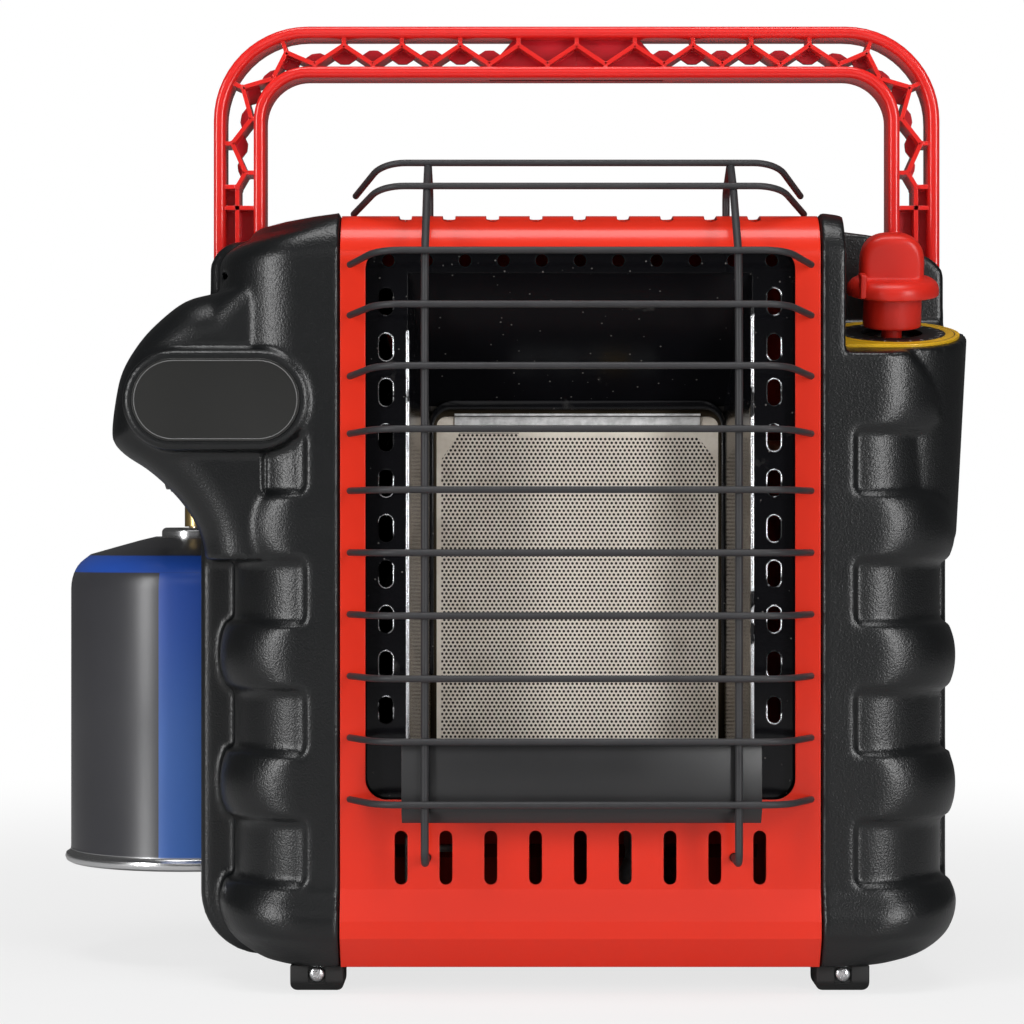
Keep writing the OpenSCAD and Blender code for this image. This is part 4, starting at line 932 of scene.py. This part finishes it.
# The dial under the knob: a black disc squared off at its front left corner, printed with
# a yellow ring and plain marks.
dial_r, dial_left, dial_thick = 26.5, -21, 1.2
disc = [(dial_r * math.cos(a), dial_r * math.sin(a)) for a in
        [math.radians(-90 + 5 * k) for k in range(46)]]
disc = [p for p in disc if p[0] > dial_left] + [(dial_left, 16.2), (dial_left, -dial_r)]
dial = plate("dial", [(x - case_x, -y) for x, y in disc], -case_y, dial_thick - case_y)
dial.data.transform(Matrix.Rotation(math.radians(90), 4, "X"))
bevel(dial, 0.2, 2)
well = turned("well", [(0, -5), (12, -5), (12, 5), (0, 5)])
cut(dial, well)
dial.data.transform(ledge)
print_ink, skin, place = new_finish("dial_print", (0.012, 0.012, 0.013), 0.3)
middle = tuple(at(knob_x, knob_y, ledge_z))
level = {"Vector": place, "Center": middle, "Angle": -math.radians(ledge_tilt)}
flat = place.node("VectorRotate", {"rotation_type": "X_AXIS"}, level)
flat = place.node("VectorMath", {"operation": "SUBTRACT"}, {0: flat, 1: middle})
over = place.node("SeparateXYZ", None, {"Vector": flat}, 0)
along = place.node("SeparateXYZ", None, {"Vector": flat}, 1)
square = over * over + along * along
reach = square.math("SQRT", square)
turn = over.math("ARCTAN2", along, over)
ring = reach.step(0.0209, 0.0211)
hairline = reach.step(0.0243, 0.0244) * (1 - reach.step(0.0247, 0.0248))
ticks = turn * (12 / math.pi)
beat = ticks.math("FRACT", ticks)
tick_run = reach.step(0.0181, 0.0182) * (1 - reach.step(0.0201, 0.0202))
notch = (1 - beat.step(0.05, 0.08)) * tick_run
inked = (ring * (1 - hairline)).blend((0.012, 0.012, 0.013, 1), (0.72, 0.42, 0.012, 1))
notch.blend(inked, (0.7, 0.7, 0.68, 1)).to(skin, "Base Color")
paint(dial, print_ink)
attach(dial, "casing")
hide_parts("dial_plate")


# The plain metal inside: galvanised sheet for the base, the plenum, the mixing tube, the
# shields and the bar that clips the tile; copper pipes; brass fittings; turned steel.
def bare_metal(name, colour, roughness, scale=45.0, spread=0.2, metallic=1.0):
    """Bare metal with a cloudy surface and fine scratches of relief."""
    made, skin, place = new_finish(name, colour, roughness, Metallic=metallic)
    cloud = noise(place, scale, 4.0)
    fine = noise(place, 1400.0, 2.0)
    shade = cloud.step(0.3, 0.7)
    shade.blend(tinted(colour, 1 - spread), tinted(colour, 1 + spread / 2)).to(skin, "Base Color")
    (roughness - 0.05 + 0.12 * cloud).to(skin, "Roughness")
    rippled(fine, 0.00003, 0.0003, 0.3).to(skin, "Normal")
    return made


zinc = bare_metal("zinc_steel", (0.56, 0.58, 0.59), 0.36, 90.0, 0.35)
dress(zinc, "base_plate", "plenum_box", "venturi", "heat_shield", "pilot_bracket")
dress(bare_metal("galvanised", (0.72, 0.72, 0.72), 0.5, 300.0, 0.25, 0.3), "clip_bar")
dress(bare_metal("sooty_steel", (0.03, 0.026, 0.023), 0.42, 60.0, 0.5, 0.6), "tile_frame")
dress(bare_metal("polished_steel", (0.17, 0.145, 0.12), 0.16, 30.0, 0.6), "side_reflectors")
dress(bare_metal("copper_pipe", (0.72, 0.33, 0.19), 0.3, 60.0, 0.4), "burner_pipe",
      "pilot_pipe", "supply_pipe", "thermocouple")
brass = bare_metal("brass", (0.66, 0.47, 0.20), 0.27, 60.0, 0.25)
dress(brass, "gas_jet", "valve_body", "pilot_burner", "gas_inlet")
turned_steel = bare_metal("turned_steel", (0.66, 0.67, 0.68), 0.24, 80.0)
dress(turned_steel, "handle_pivots", "valve_nut", "spindle_washer", "swivel_joint",
      "tip_pendulum")
dress(bare_metal("cast_alloy", (0.46, 0.47, 0.48), 0.45, 25.0), "regulator_body")
tinplate = bare_metal("tinplate", (0.72, 0.72, 0.73), 0.2, 35.0, 0.15)
dress(tinplate, "valve_cup")


# The moulded and fired parts inside: the fibre strip round the tile, the porcelain of the
# spark electrode, the white tip-over switch and the cap on the regulator's breather.
def plain_solid(name, colour, roughness, scale=200.0, depth=0.00005):
    """A matt moulding or casting with a faintly mottled, grained skin."""
    made, skin, place = new_finish(name, colour, roughness)
    cloud = noise(place, scale / 5, 3.0)
    grain = noise(place, scale * 5, 2.0)
    cloud.blend(tinted(colour, 0.85), tinted(colour, 1.12)).to(skin, "Base Color")
    (roughness - 0.06 + 0.12 * cloud).to(skin, "Roughness")
    rippled(grain, depth, 0.0005, 0.5).to(skin, "Normal")
    return made


dress(plain_solid("fibre_gasket", (0.42, 0.37, 0.30), 0.95, 260.0, 0.0002), "tile_gasket")
dress(plain_solid("porcelain", (0.78, 0.76, 0.72), 0.22), "spark_electrode")
dress(plain_solid("switch_body", (0.62, 0.60, 0.55), 0.4), "tip_switch")
dress(plain_solid("cap_plastic", (0.012, 0.012, 0.013), 0.5), "regulator_cap")


# The reflector: a pan and a funnel of black enamelled sheet. The pan's slots are punched
# with rolled rims, its mouth has hems worn bright, and a black lip frames the tile.
def enamel(name, wear=0.0, shine=0.25):
    """Gloss enamel with dust on it, worn through to steel by a share of its surface."""
    made, skin, place = new_finish(name, (0.004, 0.004, 0.005), 0.14, Specular_IOR_Level=shine)
    dust = place.node("TexVoronoi", None, {"Vector": place, "Scale": 260.0})
    speck = 1 - dust.step(0.05, 0.11)
    patch = noise(place, 70.0, 5.0)
    scuff = patch.step(0.66, 0.76)
    rough = noise(place, 600.0, 1.0)
    share = speck.math("MAXIMUM", speck * 0.35, scuff * 0.10)
    coat = share.blend((0.004, 0.004, 0.005, 1), (0.40, 0.38, 0.36, 1))
    dull = 0.11 + 0.25 * share
    if wear:
        bare = patch.step(0.70 - 0.5 * wear, 0.74 - 0.5 * wear)
        coat, dull = bare.blend(coat, (0.75, 0.76, 0.79, 1)), dull + 0.14 * bare
        (bare * 0.9).to(skin, "Metallic")
    coat.to(skin, "Base Color")
    dull.to(skin, "Roughness")
    rippled(rough, 0.00003, 0.0006, 0.25).to(skin, "Normal")
    return made


black_enamel = enamel("black_enamel")
worn_enamel = enamel("worn_enamel", 0.62)
dress(black_enamel, "reflector_surround")
dress(enamel("funnel_enamel", 0.0, 0.08), "reflector_funnel")


def slim_ring(name, outline, inner, front, back, rim):
    """A flat ring between two outlines with the same number of points, its rims rounded."""
    ring = plate(name, outline, front, back)
    cut(ring, plate("ring_hole", inner, front - 2, back + 2))
    bevel(ring, rim, 3, 50)
    smooth(ring, 60)
    return ring


def upright_slot(width, height):
    """The outline of a slot that stands on end, about the middle of the case."""
    return [(z, x) for x, z in stadium(0, 0, height, width, 10)][::-1]


slot_rim = slim_ring("slot_rim", upright_slot(6.2, 11.2), upright_slot(5, 10), 5.55, 6.3, 0.3)
slot_x, slot_top, slot_step = 0.0744, 0.265, 0.0174
rims = []
for side in (-1, 1):
    for k in range(10):
        rim = own_copy(slot_rim)
        rim.data.transform(Matrix.Translation((side * slot_x, 0, slot_top - slot_step * k)))
        rims.append(rim)
bpy.data.objects.remove(slot_rim)
merged(*rims)
hems = []
for side, top in ((-1, 254), (1, 263.5)):
    low, high = sorted((side * 65.4, side * 66.9))
    hem = block("hem", (low, 5.3, 95), (high, 7.4, top))
    bevel(hem, 0.6, 4)
    smooth(hem, 50)
    hems.append(hem)
merged(*hems)
lip = slim_ring("throat_lip", round_top(-59, 59, 120, 229.6, 10),
                round_top(-57.2, 57.2, 118, 225.6, 7), 49.8, 52.6, 0.7)
tile_rim = slim_ring("tile_rim", round_top(-58.2, 58.2, 92, 228, 9),
                     round_top(-56.2, 56.2, 91, 222.9, 4), 52.8, 54.8, 0.3)
for piece, finish in ((rims[0], enamel("punched_rim", 0.45)), (hems[0], worn_enamel),
                      (lip, black_enamel),
                      (tile_rim, bare_metal("browned_steel", (0.035, 0.027, 0.018), 0.4))):
    paint(piece, finish)
    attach(piece, "casing")


# The shield plate across the foot of the guard, bent back along its lower edge so that
# the pilot flame can't be blown out from below.
def cross_plate(name, outline, right, wide, y=0):
    """A flat outline, in millimetres deep and up, drawn out from the right to the left."""
    piece = plate(name, outline, 0, wide)
    quarter = Matrix.Rotation(math.radians(90), 4, "Z") @ Matrix.Translation(-at(0, 0, 0))
    piece.data.transform(Matrix.Translation(at(right, y, 0)) @ quarter)
    return piece


fold = [(-22.1, 97.3), (-22.1, 72.4), (-21.7, 71.4), (-18.1, 67.2), (-17.3, 67.8), (-20.8, 72),
        (-21.1, 72.8), (-21.1, 97.3)]
shield_wide = 135
shield = cross_plate("shield", fold, shield_wide / 2, shield_wide)
bevel(shield, 0.2, 2)
outward(shield)
smooth(shield, 35)
paint(shield, plain_solid("shield_paint", (0.02, 0.02, 0.021), 0.36, 300.0, 0.00003))
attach(shield, "casing")
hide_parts("shield_plate")


# The badge: a blank plate of satin black plastic let into the boss on the canister's
# side, with a thin grey line round its rim that is a painted highlight on its edge.
dress(plain_solid("badge_plastic", (0.021, 0.021, 0.020), 0.3, 90.0, 0.00001), "badge_plate")
# Painted highlight: this thin pale ring just before the badge stands for the light caught on its
# edge.
outline = slim_ring("badge_line", stadium(-badge_x, badge_z, 62.6, 30.2),
                    stadium(-badge_x, badge_z, 61.8, 29.4), -3.27, -3.1, 0.05)
paint(outline, plain_solid("badge_rim_painted_highlight", (0.16, 0.16, 0.16), 0.4))
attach(outline, "casing")


# The gas canister: a drawn tinplate can with a domed shoulder and rolled rims, in gloss
# anthracite with a blue band round the shoulder and a broad one down its inner side.
can_r, can_shoulder, can_floor = 52.7, 153.5, 44
shape = [(0, can_floor), (49.4, can_floor), (50.2, 43.2), (50.3, 41), (51.2, 40.1), (53.2, 40.1),
         (54.6, 40.9), (55.1, 42.3), (54.7, 43.6), (53.6, 44.3), (52.9, 45), (can_r, 46.4),
         (can_r, 100), (can_r, can_shoulder)]
shape += [(can_r - 9.6 * (1 - math.cos(a)), can_shoulder + 13.6 * math.sin(a))
          for a in [math.radians(9 * k) for k in range(1, 8)]]
shape += [(44.5, 167.9), (34, 170.9), (24, 173.7), (17.4, 175.3), (16.2, 175), (15.3, 174),
          (15.3, 166.4), (0, 166.4)]
can = turned("can", shape, 96)
can_axis = at(-can_x, can_y, 0)
can.data.transform(Matrix.Translation(can_axis))
smooth(can, 40)
can_paint, skin, place = new_finish("can_paint", (0.04, 0.04, 0.045), 0.34, Coat_Weight=0.2,
                                    Coat_Roughness=0.2)
local = place.node("VectorMath", {"operation": "SUBTRACT"}, {0: place, 1: tuple(can_axis)})
up = place.node("SeparateXYZ", None, {"Vector": local}, 2)
over = place.node("SeparateXYZ", None, {"Vector": local}, 0)
back = place.node("SeparateXYZ", None, {"Vector": local}, 1)
turn = over.math("ARCTAN2", over, 0.0 - back)
cloud = noise(place, 25.0, 3.0)
band_low, band_top = up.step(0.1603, 0.1607), up.step(0.1672, 0.1675)
shoulder = band_low * (1 - band_top)
stripe = turn.step(-0.204, -0.198) * (1 - turn.step(0.95, 0.956)) * (1 - band_low)
anthracite = cloud.blend((0.036, 0.036, 0.041, 1), (0.048, 0.048, 0.054, 1))
# The blue print is the can's own; its lightening towards the foot of the can is a painted
# reflection.
blue_with_painted_reflection = up.step(0.08, 0.16).blend((0.045, 0.14, 0.47, 1), (0.018, 0.08, 0.42, 1))
printed = shoulder.math("MAXIMUM", shoulder, stripe).blend(anthracite, blue_with_painted_reflection)
rim, cup_seat = 1 - up.step(0.0452, 0.0458), up.step(0.1746, 0.175)
tin = rim.math("MAXIMUM", rim, cup_seat)
tin.blend(printed, (0.7, 0.7, 0.71, 1)).to(skin, "Base Color")
tin.to(skin, "Metallic")
(0.2 - 0.2 * tin).to(skin, "Coat Weight")
(0.3 - 0.1 * tin + 0.08 * cloud).to(skin, "Roughness")
rippled(cloud, 0.0001, None, 0.2).to(skin, "Normal")
paint(can, can_paint)
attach(can, "gas_can")
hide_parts("canister")


# The feet: black rubber blocks under the four corners, tapered and rounded at the foot,
# grooved underneath, and each held by a pan-head screw.
foot_wide, foot_half, sole_half, foot_high, sole_cut = 20.5, 12, 9.5, 10, 3.5


def grooved_foot(x, y, screw_side):
    """One foot with its middle at a place, and its screw in front of it or behind."""
    line = [(-sole_half, 0), (sole_half, 0), (foot_half, sole_cut), (foot_half, foot_high),
            (-foot_half, foot_high), (-foot_half, sole_cut)]
    foot = cross_plate("foot", line, x + foot_wide / 2, foot_wide, y)
    round_edges(foot, lambda a, b: max(a.z, b.z) < 1e-5 and abs(a.x - b.x) < 1e-5, 2.6, 5)
    bevel(foot, 0.6, 3)
    for k in range(4):
        front = y - 8.2 + 4.8 * k
        cut(foot, block("groove", (x - 13, front, -1), (x + 13, front + 2, 0.9)))
    seat = y + screw_side * foot_half
    cut(foot, block("screw_seat", (x - 3.4, seat - 1.2, 3.2), (x + 3.4, seat + 1.2, 10.4)))
    smooth(foot, 35)
    return foot


stands = ((-101.25, 22, -1), (101.25, 22, -1), (-81.45, 130, 1), (81.45, 130, 1))
feet = [grooved_foot(*spot) for spot in stands]
merged(*feet)
rubber = plain_solid("foot_rubber", (0.012, 0.012, 0.012), 0.62, 260.0, 0.0001)
paint(feet[0], rubber)
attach(feet[0], "casing")
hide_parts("feet")


# The screws: steel pan heads with a cross recess, one under each foot's front or back, six
# in the back panel, and four dark ones that hold the end panels.
def pan_screw(name, head, shank, length):
    """A screw with its head out along -Y and the seat of its head at the origin."""
    profile = [(0, -length), (shank / 2 - 0.4, -length), (shank / 2, 0.4 - length), (shank / 2, 0),
               (head / 2 - 0.15, 0), (head / 2, 0.2)]
    profile += [(head / 2 * math.cos(a), 0.5 + head * 0.24 * math.sin(a))
                for a in [math.pi / 2 * k / 8 for k in range(8)]] + [(0, 0.5 + head * 0.24)]
    screw = turned(name, profile, 32)
    depth = (0.5 + head * 0.24) / 1000
    for side in (0, 1):
        bpy.ops.object.select_all(action="DESELECT")
        bpy.ops.mesh.primitive_cube_add(size=1, location=(0, 0, depth))
        arm = bpy.context.object
        arm.scale = [head * (0.0006 if k == side else 0.00014) for k in range(2)] + [depth * 1.2]
        bpy.ops.object.transform_apply(location=True, rotation=True, scale=True)
        cut(screw, arm)
    screw.data.transform(Matrix.Rotation(math.radians(90), 4, "X"))
    smooth(screw, 30)
    return screw


def driven(pattern, places, finish, node):
    """Sets copies of a screw at their places, each turned to face out and a little round."""
    made = []
    for k, (x, y, z, out) in enumerate(places):
        screw = own_copy(pattern)
        turn = Matrix.Rotation(0.7 + 1.3 * k, 4, "Y")
        face = Matrix.Rotation(math.pi if out > 0 else 0, 4, "Z")
        screw.data.transform(Matrix.Translation(at(x, y, z)) @ face @ turn)
        made.append(screw)
    bpy.data.objects.remove(pattern)
    merged(*made)
    paint(made[0], finish)
    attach(made[0], "casing")
    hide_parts(node)


pan_head = bare_metal("screw_steel", (0.68, 0.69, 0.70), 0.26, 120.0)
driven(pan_screw("foot_screw", 6, 3, 5.5), [(x, y + out * 10.8, 6.6, out) for x, y, out in stands],
       pan_head, "foot_screws")
driven(pan_screw("back_screw", 7, 3.4, 4),
       [(x, 150, z, 1) for x in (-83.7, 0, 83.7) for z in (22, 285)],
       pan_head, "back_screws")
driven(pan_screw("panel_screw", 5.5, 2.8, 4),
       [(x, 150, z, 1) for x in (-96, 96) for z in (50, 130)],
       bare_metal("dark_screw", (0.05, 0.05, 0.052), 0.4, 120.0), "panel_screws")


# The louvres: a blade slants inwards from under each slot of the back panel, so that the
# hot air gets out and nothing can be seen or poked through.
blade = block("blade", (-33.4, 145, -0.4), (33.4, 152.8, 0.4))
centre = at(0, 149, 0)
blade.data.transform(Matrix.Translation(centre) @ Matrix.Rotation(math.radians(-50), 4, "X")
                     @ Matrix.Translation(-at(0, 152.8, 0)))
bevel(blade, 0.2, 2)
blades = []
for side in (-1, 1):
    for z in [269 - 12 * k for k in range(9)] + [40 + 12 * k for k in range(4)]:
        copied = own_copy(blade)
        copied.data.transform(Matrix.Translation((side * 0.04585, 0, (z - 2.6) / 1000)))
        blades.append(copied)
bpy.data.objects.remove(blade)
merged(*blades)
for x, z in ((-62, 66), (62, 66), (-62, 234), (62, 234)):
    cut(blades[0], plate("spacer_room", stadium(x, z, 9, 9), 130, 149.5))
# Painted shade: the blades take the case's red coat at half its brightness, darker than the back
# panel they belong to.
paint(blades[0], powder_coat("louvre_coat_painted_shade", tinted(red, 0.5)))
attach(blades[0], "casing")
